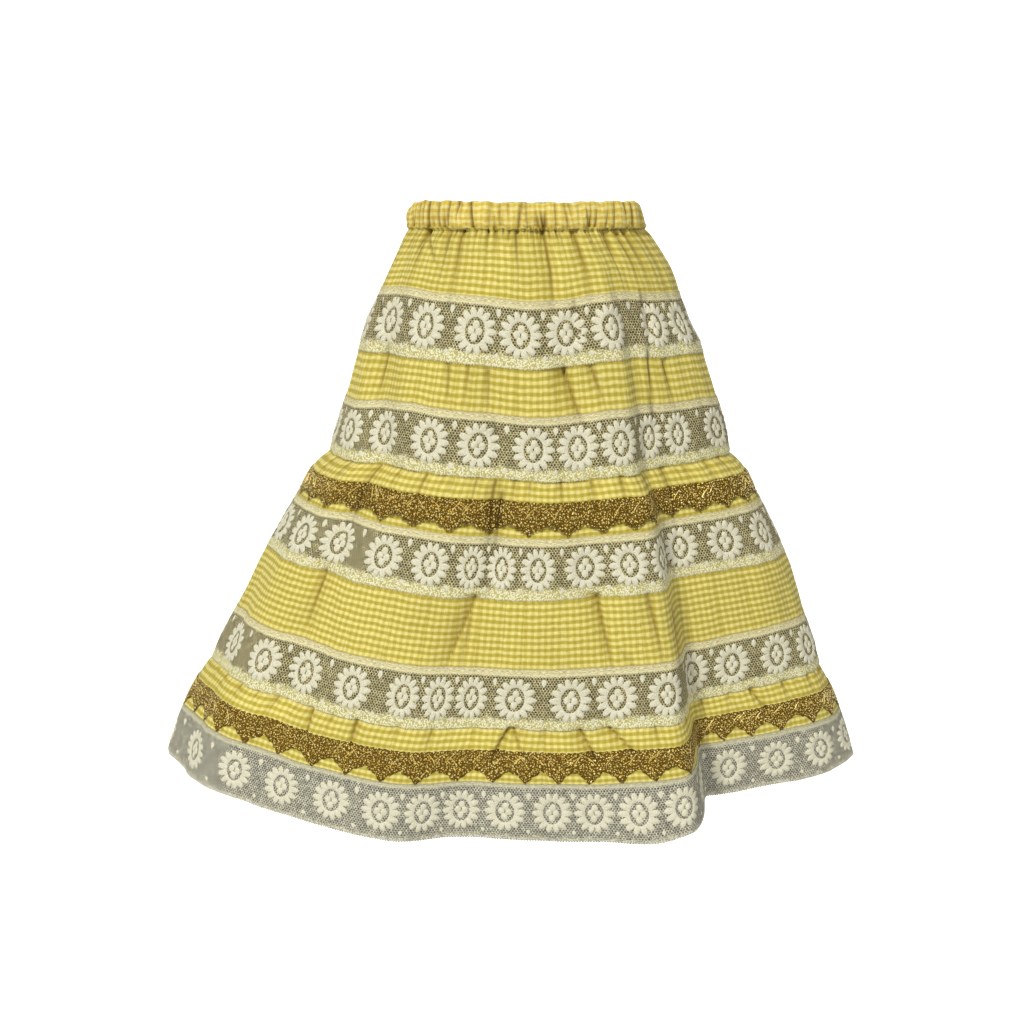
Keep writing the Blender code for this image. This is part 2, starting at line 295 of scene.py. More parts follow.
pleat_shares = []
for top, foot, spacing, by_hand in PLEATS:
    pleats = list(by_hand)
    for number in range(int(HIDDEN_END / spacing)):
        angle = (number + 0.5 + dice.uniform(-0.3, 0.3)) * spacing
        length = by_hand[int(dice.integers(len(by_hand)))][2]
        pleats.append((angle, dice.uniform(3.0, 6.0), length, *dice.uniform(3.0, 5.5, 2)))
    rows = np.flatnonzero((drops >= top - 0.0005) & (drops <= foot))
    tier_shares = []
    for angle, deep, length, left, right in pleats:
        unwrapped = (angle + 360.0 - BACK) % 360.0 - 360.0 + BACK
        share = float(np.interp(unwrapped, share_angles[rows[0]], shares))
        line = np.array([np.interp(share, shares, share_angles[row]) for row in rows])
        along = np.clip((drops[rows] - top) / (length / 1000), 0.0, 1.0)
        fade = PLEAT_STAYS + (1.0 - PLEAT_STAYS) * (1.0 - along) ** 1.6
        fade *= np.clip((foot - drops[rows]) / PLEAT_FOOT, 0.0, 1.0)
        press(rows, line, PLEAT_FULLNESS * deep * fade, PLEAT_SPREAD * left, PLEAT_SPREAD * right)
        tier_shares.append(share)
    pleat_shares.append(np.sort(tier_shares))
    print(len(pleats), "pleats from", top, "to", foot)

# %% [markdown]
# ## Loose creases and small puckers
# Other creases cross the cloth at a slant, where a fold tips over or a seam pulls. These
# run from one angle and drop to another. One that starts at a gathered seam is deep at
# once, and any other eases in over 20 mm. Fine puckers along each gathered seam, a few
# millimetres deep, finish the gathers.

# %% Press in the creases
CREASES = (
    # angle and drop where it starts, where it ends, depth, reach left, reach right; lengths in mm
    (-74, 100, -76, 190, 4.5, 7, 2.2),
    (-80, 186, -75.4, 250, 8, 14, 2.4),
    (-71.8, 187, -68.6, 232, 4, 8, 3),
    (-178, 60, -148, 170, 5, 6, 5),
    (-148, 165, -145, 236, 4.5, 6, 5),
    (-40, 100, -46, 178, 3.5, 5, 5),
    (-50, 220, -50, 306, 3.5, 4, 8),
    (-138, 440, -136, 536, 4.5, 6, 6),
    (-100, 452, -104.3, 548, 5.5, 10, 4),
    (-100.5, 468, -101, 548, 3, 4, 6),
    (-75.2, 452, -73.4, 548, 6, 10, 2.6),
    (-72, 516, -69.2, 544, 4, 5, 3),
    (-65, 446, -63.5, 545, 4.5, 7, 4),
    (-96.8, 322, -97.6, 462, 7, 8, 8),
    (-116.8, 187, -114.5, 236, 3, 3.5, 4),
    (-109.8, 187, -109.2, 232, 2.5, 3.5, 3),
    (-103.8, 187, -102.6, 236, 3, 4, 3.5),
    (-100.8, 236, -99.4, 300, 3.5, 4, 5),
    (-135.2, 552, -135.5, 606, 4, 5, 4),
    (-42.5, 92, -47, 172, 3.5, 3, 7),
    (-47, 166, -50.5, 240, 5, 3, 8),
    (-40.5, 187, -40, 236, 3.5, 3, 5),
    (-145, 27, -147, 68, 4, 4, 3),
    (-145, 27, -128.5, 74, 4.5, 3, 4),
    (-49, 27, -52.5, 78, 4, 3, 4),
    (-41, 27, -42.8, 94, 4.5, 3, 4),
    (-58, 470, -61, 588, 3, 5, 8),
    (-128, 610, -126, 646, 6.5, 7, 2),
    (-118, 610, -117, 646, 6, 2.4, 6),
    (-91, 610, -93.5, 652, 7, 2, 10),
    (-90.4, 610, -88, 646, 4, 4, 4),
    (-79, 610, -76, 652, 7, 10, 2),
    (-74, 610, -69, 650, 7, 10, 2),
    (-39, 610, -36, 644, 6, 3, 6),
    (24, 190, 20, 300, 5, 9, 2.5),
    (58, 100, 55, 184, 4, 7, 3),
    (101, 186, 106, 300, 6, 3, 11),
    (133, 450, 136, 545, 5, 9, 2.5),
    (62, 450, 60, 545, 5, 2.5, 9),
    (37, 610, 40, 648, 6, 9, 2.2),
    (92, 610, 88, 648, 6, 2.2, 9),
    (146, 610, 149, 648, 6, 9, 2.2),
)
PUCKER_RULES = (
    # drop at the top, how many, longest and shortest in metres, depth and reach in mm
    (0.0265, 82, 0.040, 0.010, 4.6, 1.8),
    (0.0265, 110, 0.018, 0.006, 7.5, 1.7),
    (0.314, 88, 0.026, 0.008, 2.8, 2.6),
    (0.611, 104, 0.022, 0.008, 3.0, 2.8),
)
CREASE_FULLNESS = 2.0
AT_SEAM = 0.004
SEAM_EASE = 0.002
CREASE_EASE = 0.020
GATHERED_SEAMS = (0.027, 0.188, 0.313, 0.452, 0.611)
creases = [
    (from_angle, from_drop / 1000, to_angle, to_drop / 1000, CREASE_FULLNESS * deep, left, right)
    for from_angle, from_drop, to_angle, to_drop, deep, left, right in CREASES
]
for top, count, longest, shortest, depth, reach in PUCKER_RULES:
    for number in range(count):
        angle = -180.0 + 360.0 * (number + dice.uniform(-0.4, 0.4)) / count
        length = shortest + (longest - shortest) * dice.random() ** 2
        lean = dice.uniform(-60.0, 60.0) * length
        deep = depth * dice.uniform(0.35, 1.1)
        creases.append((angle, top, angle + lean, top + length, deep, *(reach * dice.uniform(0.5, 1.5, 2))))
for from_angle, from_drop, to_angle, to_drop, deep, left, right in creases:
    rows = np.flatnonzero((drops >= from_drop - 0.0015) & (drops <= to_drop))
    below = drops[rows] - from_drop
    along = np.clip(below / (to_drop - from_drop), 0.0, 1.0)
    at_seam = min(abs(from_drop - seam) for seam in GATHERED_SEAMS) < AT_SEAM
    ease_in = below / SEAM_EASE + 0.75 if at_seam else below / CREASE_EASE
    fade = (1.0 - along) ** 0.7 * np.clip(ease_in, 0.0, 1.0)
    press(rows, from_angle + (to_angle - from_angle) * along, deep * fade, left, right)
print(len(creases), "creases and puckers")

# %% [markdown]
# ## How the seams really hang
# A hand sewn tier is never level. The seams and lace edges of the photograph sag and rise
# by several millimetres, so a second table lowers the cloth (or lifts it, below nought)
# at angles round the front. Round the back the same kind of waves carry on. The outer
# edges at the left and the right waver in and out by a few millimetres as well.
# Soft cotton is never quite smooth either: a few long, low waves are added all over.

# %% Let the seams droop
DROOP_DROPS = (0.030, 0.103, 0.187, 0.233, 0.314, 0.457, 0.539, 0.611, 0.670, 0.758)
DROOPS = (
    # angle, then millimetres lower at each drop
    (-168, 0, -6, -6, -5, -3, -12, -14, -10, -12, 0),
    (-160, 0, -7, -7, -5, -3, -13, -15, -11, -13, 4),
    (-150, 0, -9, -8, -6, -3, -14, -17, -12, -15, -2),
    (-140, 0, -9, -8, -8, -5, -11, -13, -7, -10, -5),
    (-127, 0, -4, -8, -9, -7, -8, -6, 0, -3, -4),
    (-118, 0, -3, -7, -4, -5, -7, -4, 2, 0, -3),
    (-105, 0, 0, -4, 0, -3, -1, 0, 5, 4, 0),
    (-92, 0, 5, 1, 6, 0, -1, 0, 2, 2, -4),
    (-84, 0, 4, -1, 6, 2, -2, 0, 4, 1, -3),
    (-76, 0, 3, -4, 3, 1, -3, 0, 4, 4, 0),
    (-68, 0, -3, -8, -3, -3, -4, -1, 3, 0, 4),
    (-62, 0, -4, -8, -3, -2, -5, -2, 4, -2, -7),
    (-58, 0, -5, -8, -4, -2, -5, -2, 4, -4, -8),
    (-52, 0, -5, -8, -4, -2, -5, -2, 4, -4, 1),
    (-42, 0, -2, -5, -4, -3, -5, -5, 0, -5, 2),
    (-25, 0, -1, -6, -7, -4, -4, -8, -2, -6, 4),
    (5, 0, 1, 0, -2, 0, 0, -2, 0, 0, 0),
    (32, 0, -2, -3, -1, 2, -3, 1, 3, -2, 2),
    (60, 0, 2, 1, 3, -2, 2, -3, -2, 3, -2),
    (88, 0, -3, 0, -3, 1, -4, 2, 3, 0, 2),
    (120, 0, 2, -2, 2, 3, 1, -2, -3, 2, -2),
    (150, 0, 0, 2, -2, -2, 3, 2, 2, -3, 2),
)
SOFT_WAVES = (
    # waves round the ring, waves down the skirt, start, height in mm
    (7, 1.3, 0.4, 0.9),
    (11, -2.1, 2.0, 0.7),
    (17, 2.9, 4.1, 0.6),
    (29, -4.3, 1.1, 0.45),
    (43, 6.1, 5.3, 0.30),
    (71, -9.0, 3.2, 0.16),
)
SIDE_WAVERS = (
    # drop in mm, then mm further out at the left side and at the right
    (20, 2, 3), (50, 0, 3.5), (85, 1, 1.5), (110, 1.5, -2.5), (140, 4, -3.5),
    (170, 1.5, 0), (230, -3, -2), (290, -2.5, 1), (330, -4, 0.5), (370, -6, -0.5),
    (420, -4, 3), (470, -3.5, 4.5), (510, -5.5, 1), (540, -6, -3.5), (580, -3, 0.5),
    (640, -3, 0), (700, 1, 0), (758, 2, 2),
)
DROOP_BLUR = 45
droop_table = np.array(DROOPS)
droop_angles = np.concatenate([droop_table[-1:, 0] - 360, droop_table[:, 0], droop_table[:1, 0] + 360])
blur = np.hanning(2 * DROOP_BLUR + 1) / np.hanning(2 * DROOP_BLUR + 1).sum()
droop_waves = []
for values in droop_table[:, 1:].T:
    wave = np.interp(angles, droop_angles, np.concatenate([values[-1:], values, values[:1]]))
    wave = np.convolve(np.concatenate([wave[-DROOP_BLUR:], wave, wave[:DROOP_BLUR]]), blur, "valid")
    droop_waves.append(wave * MILLIMETRE)
cloth_low = np.stack([np.interp(drops, DROOP_DROPS, column) for column in np.array(droop_waves).T], axis=1)
waver_drops, left_wavers, right_wavers = np.array(SIDE_WAVERS).T
waver_drops = waver_drops / 1000
sideways = np.cos(np.radians(angle_grid))
wavers = np.where(sideways < 0, np.interp(drop_grid, waver_drops, left_wavers),
                  np.interp(drop_grid, waver_drops, right_wavers))
cloth_out += wavers * MILLIMETRE * np.abs(sideways) ** 6
waist_fade = np.clip((drop_grid - CASING_FOOT) / 0.05, 0.0, 1.0)
for rounds, down, start, height in SOFT_WAVES:
    phase = np.radians(rounds * angle_grid) + start + 2 * math.pi * down * drop_grid / HEM
    cloth_out += height * MILLIMETRE * waist_fade * np.sin(phase)
droop_range = [round(float(end(cloth_low)) * 1000, 1) for end in (np.min, np.max)]
print("droops from", droop_range[0], "to", droop_range[1], "mm")

# %% [markdown]
# ## Laying flat work on the cloth
# From here on each piece is designed flat: a place across the strip (its share of the
# ring), a drop, and a lift off the cloth. One function reads the three tables at those
# places and gives points in space, so that panels, lace and trims all follow each other.

# %% Turn flat places into points
def read_table(table, rows, columns):
    """Values of a table between its rows and between its columns, which go on round the ring."""
    rows = np.clip(rows, 0.0, table.shape[0] - 1.001)
    row = rows.astype(int)
    left = np.floor(columns).astype(int)
    down = rows - row
    across = columns - left
    right = (left + 1) % table.shape[1]
    left = left % table.shape[1]
    upper = table[row, left] * (1 - across) + table[row, right] * across
    lower = table[row + 1, left] * (1 - across) + table[row + 1, right] * across
    return upper * (1 - down) + lower * down


def cloth_places(share, drop):
    """Angles at shares of the ring and drops, and their rows and columns in the cloth's tables."""
    rows = (drop - WAIST_TOP) / MILLIMETRE
    share = (share + 0.5) % 1.0 - 0.5
    angle = read_table(share_angles, rows, (share + 0.5) * SHARE_STEPS)
    return angle, rows, (angle + 180.0) / ANGLE_STEP


def on_cloth(share, drop, lift=0.0):
    """Points on the cloth at shares of the ring and drops, lifted off it."""
    share, drop, lift = np.broadcast_arrays(share, drop, lift)
    angle, rows, columns = cloth_places(share, drop)
    out = read_table(cloth_out, rows, columns) + lift
    low = read_table(cloth_low, rows, columns)
    side, wide, deep, middle = (
        np.interp(drop, drops, column) for column in (side_drop, half_width, half_depth, centre_x))
    t = np.radians(angle)
    across, along = np.cos(t) / wide, np.sin(t) / deep
    size = np.hypot(across, along)
    below = np.maximum(drop - HEM, 0.0)
    return np.stack([
        middle + wide * np.cos(t) + out * across / size,
        deep * np.sin(t) + out * along / size,
        -(side + (drop - below - side) * np.sin(t) ** 2) - low - below,
    ], axis=-1)


print("front of the hem:", np.round(on_cloth(0.0, HEM), 3))

# %% [markdown]
# ## Making meshes
# Two helpers make all the cloth. One turns points, faces and flat places into an object,
# with a UV map in metres of cloth, so that every pattern below can be drawn to its real
# size. The other lays a closed thin shell, whose rows run down its outside and back up its
# inside. Between two pleats the flat places are true to size, and what a pleat swallows
# is left out. Each point is marked with how much shade is painted on it, dark in the
# valleys of creases and pleats.

# %% Build pieces from grids
def add_piece(name, points, faces, places, materials, marks=None, smooth=True):
    """An object from points, faces, the flat places of face corners and named marks on points."""
    mesh = bpy.data.meshes.new(name)
    mesh.from_pydata(points.tolist(), [], faces.tolist())
    for mark, values in (marks or {}).items():
        attribute = mesh.attributes.new(mark, "FLOAT", "POINT")
        attribute.data.foreach_set("value", values.astype(np.float32).ravel())
    mesh.uv_layers.new(name="cloth").data.foreach_set("uv", places.astype(np.float32).ravel())
    for material in materials:
        mesh.materials.append(material)
    mesh.polygons.foreach_set("use_smooth", [smooth] * len(mesh.polygons))
    mesh.update()
    piece = bpy.data.objects.new(name, mesh)
    bpy.context.scene.collection.objects.link(piece)
    return piece


def grid_faces(rows, columns, closed=False):
    """Faces of a grid that closes across, and down if asked, and the row and column of each corner."""
    row, column = np.meshgrid(np.arange(rows if closed else rows - 1), np.arange(columns), indexing="ij")
    row, column = row.ravel(), column.ravel()
    corner_rows = np.stack([row, row + 1, row + 1, row], axis=1)
    corner_columns = np.stack([column, column, column + 1, column + 1], axis=1)
    return corner_rows % rows * columns + corner_columns % columns, corner_rows, corner_columns


def add_shell(name, share, drop, lift, thickness, flat_width, flat_drop, materials, pleats=()):
    """A closed thin shell over a grid of shares and drops, with its inside a thickness in."""
    rows, columns = drop.shape
    loop = np.concatenate([np.arange(rows), np.arange(rows)[::-1]])
    inside = np.repeat([0.0, thickness], rows)[:, None]
    points = on_cloth(share[loop], drop[loop], np.broadcast_to(lift, drop.shape)[loop] - inside)
    faces, corner_rows, corner_columns = grid_faces(2 * rows, columns, closed=True)
    corner_rows = loop[corner_rows % (2 * rows)]
    corner_share = share[0, 0] + corner_columns / columns
    across = corner_share * flat_width
    if len(pleats):
        edges = np.concatenate([[pleats[-1] - 1.0], pleats, [pleats[0] + 1.0]])
        run = np.searchsorted(edges, corner_share.mean(axis=1))
        middle = ((edges[run - 1] + edges[run]) / 2)[:, None]
        corner_drop = drop[corner_rows, corner_columns % columns]
        shown = np.minimum(np.interp(corner_drop, drops, ring_lengths) / flat_width, 1.0)
        across = flat_width * (middle + (corner_share - middle) * shown)
    places = np.stack([across, -flat_drop[corner_rows, corner_columns % columns]], axis=-1)
    # The painted shade of creases and pleats at each point, carried to the materials as a mark.
    _, table_rows, table_columns = cloth_places(share, drop)
    painted_crease_shade = read_table(cloth_painted_shade, table_rows, table_columns)
    marks = {"painted_crease_shade": painted_crease_shade[loop], "above_edge": (drop[-1:] - drop)[loop]}
    print(name, len(faces) * 2, "triangles")
    return add_piece(name, points.reshape(-1, 3), faces, places, materials, marks)


# %% [markdown]
# ## Colours and nodes
# Colours are read off as sRGB hex values, which a shader needs as linear light. One
# function turns them. Another adds a node, gives it its settings and feeds its inputs, each
# with a number, a colour or what another node puts out. All patterns are drawn in metres on
# the flat cloth, so each material starts from that place.

# %% Add the colour and node helpers
def linear(hex_colour):
    """An sRGB hex colour as the linear colour that a shader works with."""
    channels = [int(hex_colour[k:k + 2], 16) / 255 for k in (1, 3, 5)]
    return (*(c / 12.92 if c <= 0.04045 else ((c + 0.055) / 1.055) ** 2.4 for c in channels), 1.0)


def feed(node, feeds):
    """Feeds inputs, each by a value, a socket or the output that another node has in use."""
    for place, source in feeds.items():
        if isinstance(source, bpy.types.Node):
            source = next(socket for socket in source.outputs if socket.enabled)
        if isinstance(source, bpy.types.NodeSocket):
            node.id_data.links.new(source, node.inputs[place])
        else:
            node.inputs[place].default_value = source


def add_node(tree, kind, *feeds, **settings):
    """A node with its settings. Its inputs are fed in their order, or by the places in a dict."""
    node = tree.nodes.new("ShaderNode" + kind)
    for name, value in settings.items():
        setattr(node, name, value)
    for place, source in enumerate(feeds):
        feed(node, source if isinstance(source, dict) else {place: source})
    return node


def new_material(name):
    """An empty material: its shader, its own way to add a node, and the flat place, across and down."""
    material = bpy.data.materials.new(name)
    material.use_nodes = True
    add = functools.partial(add_node, material.node_tree)
    flat = add("UVMap", uv_map="cloth")
    place = add("SeparateXYZ", flat)
    shader = material.node_tree.nodes["Principled BSDF"]
    return material, shader, add, flat, place.outputs["X"], place.outputs["Y"]


# %% [markdown]
# ## Yarn dyed gingham
# Gingham is plain woven cotton. Every other group of threads is dyed, both ways, so the
# checks come in four mixes: white on white, white on yellow, yellow on white and yellow
# on yellow. The weft stripe of this cloth is the stronger one. The repeat is 8 mm. Two
# sine waves, squared off, give the stripes, and their mix picks the colour. Hand sewn
# checks wander a little, and those of the gathered casing twice as much.
# Real threads are 0.3 mm apart, too fine to show here, so the weave is drawn at 1.2 mm.
# Unmercerised cotton is dull: IOR 1.5, roughness near 0.85 and a faint fibre sheen.
# In the valleys of creases and pleats the colour is mixed towards a dark olive brown, as painted shade.

# %% Weave the gingham
CHECK_REPEAT = 0.008
DRAWN_THREAD = 0.0012
STRIPE_EDGE = 0.70
GINGHAM_PAINTED_SHADE = 0.85


def weave_gingham(name, wander, both_white, white_weft, white_warp, both_dyed, painted_fold_shade):
    """Gingham with its four mixes of thread colour."""
    material, shader, add, flat, across, down = new_material(name)
    sway = add("TexNoise", flat, {"Scale": 70.0, "Detail": 2.0})
    sway = add("Math", sway, 0.5, operation="SUBTRACT")
    sway = add("Math", sway, wander, operation="MULTIPLY")
    stripes = []
    for way in (across, down):
        moved = add("Math", way, sway, operation="ADD")
        turned = add("Math", moved, 2 * math.pi / CHECK_REPEAT, operation="MULTIPLY")
        wave = add("Math", turned, operation="SINE")
        stripes.append(add("MapRange", wave, -STRIPE_EDGE, STRIPE_EDGE, interpolation_type="SMOOTHSTEP"))
    upper = add("Mix", stripes[0], {6: linear(both_dyed), 7: linear(white_warp)}, data_type="RGBA")
    lower = add("Mix", stripes[0], {6: linear(white_weft), 7: linear(both_white)}, data_type="RGBA")
    checks = add("Mix", stripes[1], {6: upper, 7: lower}, data_type="RGBA")
    slubs = []
    for stretch in ((90.0, 900.0, 1.0), (900.0, 90.0, 1.0)):
        pulled = add("VectorMath", flat, stretch, operation="MULTIPLY")
        slubs.append(add("TexNoise", pulled, {"Scale": 1.0, "Detail": 3.0, "Roughness": 0.7}))
    slub = add("Math", slubs[0], slubs[1], operation="ADD")
    shade = add("MapRange", slub, 0.72, 1.28, 0.84, 1.14)
    patches = add("TexNoise", flat, {"Scale": 9.0, "Detail": 2.0})
    patch_shade = add("MapRange", patches, 0.3, 0.7, 0.95, 1.05)
    shade = add("Math", shade, patch_shade, operation="MULTIPLY")
    coloured = add("VectorMath", checks, {3: shade}, operation="SCALE")
    # Painted shade: deep in creases and pleats the colour is mixed towards the dark fold colour.
    painted_crease_shade = add("Attribute", attribute_name="painted_crease_shade")
    painted_shade_share = add("Math", painted_crease_shade.outputs["Fac"], GINGHAM_PAINTED_SHADE, operation="MULTIPLY")
    coloured = add("Mix", painted_shade_share, {6: coloured, 7: linear(painted_fold_shade)}, data_type="RGBA")
    threads = []
    for way in (across, down):
        turned = add("Math", way, 2 * math.pi / DRAWN_THREAD, operation="MULTIPLY")
        threads.append(add("Math", turned, operation="SINE"))
    weave = add("Math", threads[0], threads[1], operation="MULTIPLY")
    height = add("Math", weave, 0.35, slub, operation="MULTIPLY_ADD")
    bump = add("Bump", {"Height": height, "Strength": 0.5, "Distance": 0.0004})
    rough = add("MapRange", slub, 0.7, 1.3, 0.92, 0.78)
    feed(shader, {"Base Color": coloured, "Roughness": rough, "Normal": bump})
    feed(shader, {"Sheen Weight": 0.05, "Sheen Roughness": 0.5})
    return material


# The last colour of each gingham is the painted shade mixed in deep in the folds.
panel_gingham = weave_gingham(
    "yellow_gingham_cotton", 0.0030, "#F6E890", "#E6D46A", "#CCBA48", "#BCA838", "#866A10")
casing_gingham = weave_gingham(
    "gathered_gingham_cotton", 0.0060, "#FBEC9E", "#F4DF7C", "#EACE58", "#DDBF44", "#6A4A08")
print("gingham repeat", CHECK_REPEAT * 1000, "mm")

# %% [markdown]
# ## Knitted lace
# The lace is cotton made on a machine: a net of twisted threads with a dense tape on top,
# a picot edge below, and daisies worked in close stitches. Its net has six-sided holes
# nearly 4 mm apart. Modelling every hole would take hundreds of thousands of faces, so
# the net is a thin shell whose material has round holes, laid out as in a honeycomb: two
# grids, one shifted by half a step, and the nearer middle counts. Fine threads and fluff
# cross each hole, and the inside of the skirt behind it lies in shade, so a hole is not
# cut clean: it keeps a dark veil, and that veil is painted shade in place of the shaded
# inside. Towards the foot the veil gives way to a painted colour of what lies behind; for
# the lace set into the skirt that is the yellow cloth of the next panel, painted in bright
# specks as if the lace cast no shadow on it, with a little of it showing through. No two
# knots are alike: noise makes some lighter, and whole patches too. The tape is wound in
# streaks and sheer in places.

# %% Knit the net
NET_PITCH = 0.0038
NET_RISE = NET_PITCH * 1.6
HOLE_RADIUS = 0.00156
CLEAR_IN_NET = 0.12
FOOT_STITCH = 0.0019
NET_GRAIN = 0.0027
NET_PATCH = 0.009
EDGE_START = 0.0762
LACE_WIDTH = 0.080
PICOT_PITCH = 0.0034
PICOT_DEPTH = 0.0018
TAPE_SHEER = 0.55
NET_PAINTED_SHADE = 0.6


def knit_net(name, light, dark, painted_shade_veil, tape, tape_shade, heading, foot_start, foot_light, painted_behind_foot,
             clear_at_foot):
    """The lace ground: a tape down to the heading, net and edge, its holes filled with painted shade, and
    at the foot with a painted colour of what lies behind.
    """
    material, shader, add, flat, across, up = new_material(name)
    down = add("Math", up, -1.0, operation="MULTIPLY")
    wander = add("TexNoise", flat, {"Scale": 260.0, "Detail": 1.0})
    wander = add("VectorMath", wander.outputs["Color"], (0.5, 0.5, 0.5), operation="SUBTRACT")
    wander = add("VectorMath", wander, {3: 0.0014}, operation="SCALE")
    moved = add("VectorMath", flat, wander, operation="ADD")
    distances = []
    for shift in (0.0, 0.5):
        scaled = add("VectorMath", moved, (1 / NET_PITCH, 1 / NET_RISE, 0.0), operation="MULTIPLY")
        shifted = add("VectorMath", scaled, (shift, shift, 0.0), operation="ADD")
        share = add("VectorMath", shifted, operation="FRACTION")
        middle = add("VectorMath", share, (0.5, 0.5, 0.0), operation="SUBTRACT")
        real = add("VectorMath", middle, (NET_PITCH, NET_RISE, 0.0), operation="MULTIPLY")
        distances.append(add("VectorMath", real, operation="LENGTH"))
    nearest = add("Math", distances[0], distances[1], operation="MINIMUM")
    hole = add("MapRange", nearest, HOLE_RADIUS * 0.86, HOLE_RADIUS * 1.06, 1.0, 0.0)
    speck = add("TexNoise", flat, {"Scale": 700.0, "Detail": 2.0})
    frayed = add("Math", speck, 0.006, down, operation="MULTIPLY_ADD")
    below_tape = add("MapRange", frayed, heading + 0.0022, heading + 0.0038)
    above_edge = add("MapRange", down, EDGE_START, EDGE_START + 0.0008, 1.0, 0.0)
    in_net = add("Math", below_tape, above_edge, operation="MULTIPLY")
    net_hole = add("Math", hole, in_net, operation="MULTIPLY")
    in_tape = add("Math", 1.0, below_tape, operation="SUBTRACT")
    uneven = add("TexNoise", flat, {"Scale": 90.0, "Detail": 3.0})
    uneven = add("Math", uneven, 0.014, -0.007, operation="MULTIPLY_ADD")
    strayed = add("Math", speck, 0.02, -0.01, operation="MULTIPLY_ADD")
    foot = add("Math", down, uneven, operation="ADD")
    foot = add("Math", foot, strayed, operation="ADD")
    in_foot = add("MapRange", foot, foot_start - 0.0015, foot_start + 0.0015)
    stitches = add("TexVoronoi", flat, {"Scale": 1 / FOOT_STITCH})
    between = add("MapRange", stitches, 0.36, 0.68)
    in_lower = add("Math", in_foot, above_edge, operation="MULTIPLY")
    open_foot = add("Math", between, clear_at_foot, operation="MULTIPLY")
    open_net = add("Math", net_hole, CLEAR_IN_NET, operation="MULTIPLY")
    open_net = add("Mix", in_lower, {2: open_net, 3: open_foot})
    streaked = add("VectorMath", flat, (190.0, 1150.0, 1.0), operation="MULTIPLY")
    streak = add("TexNoise", streaked, {"Scale": 1.0, "Detail": 2.0})
    sheer = add("MapRange", streak, 0.4, 0.6, TAPE_SHEER, 0.0)
    upper_tape = add("MapRange", frayed, heading * 0.8, heading * 1.3, 1.0, 0.0)
    sheer = add("Math", sheer, upper_tape, operation="MULTIPLY")
    top_fade = add("MapRange", frayed, 0.0028, 0.0058, 0.75, 0.0)
    sheer = add("Math", sheer, top_fade, operation="MAXIMUM")
    open_all = add("Math", sheer, open_net, operation="MAXIMUM")
    loop_turn = add("Math", across, math.pi / PICOT_PITCH, operation="MULTIPLY")
    loop = add("Math", loop_turn, operation="SINE")
    loop = add("Math", loop, operation="ABSOLUTE")
    loop_foot = add("Math", loop, PICOT_DEPTH, LACE_WIDTH - PICOT_DEPTH, operation="MULTIPLY_ADD")
    past = add("Math", down, loop_foot, operation="GREATER_THAN")
    gone = add("Math", open_all, past, operation="MAXIMUM")
    alpha = add("Math", 1.0, gone, operation="SUBTRACT", use_clamp=True)
    tone = add("MapRange", speck, 0.36, 0.62)
    thread = add("Mix", tone, {6: linear(dark), 7: linear(light)}, data_type="RGBA")
    # The holes are filled with a veil of painted shade, in place of the shaded inside of the skirt behind
    # them; fluff crosses it.
    mottle = add("TexNoise", flat, {"Scale": 300.0, "Detail": 2.0})
    fluff = add("MapRange", mottle, 0.4, 0.68, 0.0, 0.7)
    painted_shade_hole = add("Mix", fluff, {6: linear(painted_shade_veil), 7: linear(dark)}, data_type="RGBA")
    netted = add("Mix", net_hole, {6: thread, 7: painted_shade_hole}, data_type="RGBA")
    knots = add("TexVoronoi", flat, {"Scale": 1 / NET_GRAIN})
    picked = add("SeparateColor", knots.outputs["Color"])
    grain = add("MapRange", picked, {3: 0.66, 4: 1.24})
    patch = add("TexNoise", flat, {"Scale": 1 / NET_PATCH, "Detail": 1.0})
    patch = add("MapRange", patch, 0.35, 0.65, 0.88, 1.14)
    grain = add("Math", grain, patch, operation="MULTIPLY")
    netted = add("VectorMath", netted, {3: grain}, operation="SCALE")
    wound = add("MapRange", streak, 0.35, 0.62)
    taped = add("Mix", wound, {6: linear(tape_shade), 7: linear(tape)}, data_type="RGBA")
    colour = add("Mix", in_tape, {6: netted, 7: taped}, data_type="RGBA")
    # At the foot the holes are painted with the colour of what lies behind them: for the set-in lace the
    # yellow cloth, as bright as if the lace cast no shadow on it.
    crossed = add("Mix", between, {6: linear(foot_light), 7: linear(painted_behind_foot)}, data_type="RGBA")
    in_lower = add("Math", in_foot, below_tape, operation="MULTIPLY")
    colour = add("Mix", in_lower, {6: colour, 7: crossed}, data_type="RGBA")
    # Painted shade: in creases and pleats the lace is mixed towards a dark grey brown.
    painted_crease_shade = add("Attribute", attribute_name="painted_crease_shade")
    painted_shade_share = add("Math", painted_crease_shade.outputs["Fac"], NET_PAINTED_SHADE, operation="MULTIPLY")
    coloured = add("Mix", painted_shade_share, {6: colour, 7: linear("#5E543A")}, data_type="RGBA")
    height = add("Math", speck, net_hole, operation="SUBTRACT")
    bump = add("Bump", {"Height": height, "Strength": 0.4, "Distance": 0.0003})
    rough = add("MapRange", speck, 0.3, 0.7, 0.75, 0.9)
    feed(shader, {"Base Color": coloured, "Alpha": alpha, "Normal": bump, "Roughness": rough})
    return material


# The third colour is a veil of painted shade in the holes. The last colour is painted into the holes at the
# foot, for what lies behind them.
set_in_net = knit_net(
    "cotton_net_set_in", "#EDE6B6", "#A89A60", "#43340F", "#F4EBBA", "#E6DA9E", 0.0095, 0.0645,
    "#F9F5CE", "#D4C878", 0.20)
hem_net = knit_net(
    "cotton_net_of_the_hem", "#F2EED8", "#B0AC90", "#5A553F", "#DCD6B2", "#C2BC96", 0.0060, 0.0740,
    "#EAE5CC", "#B4AE90", 0.10)
print("net pitch", NET_PITCH * 1000, "mm")

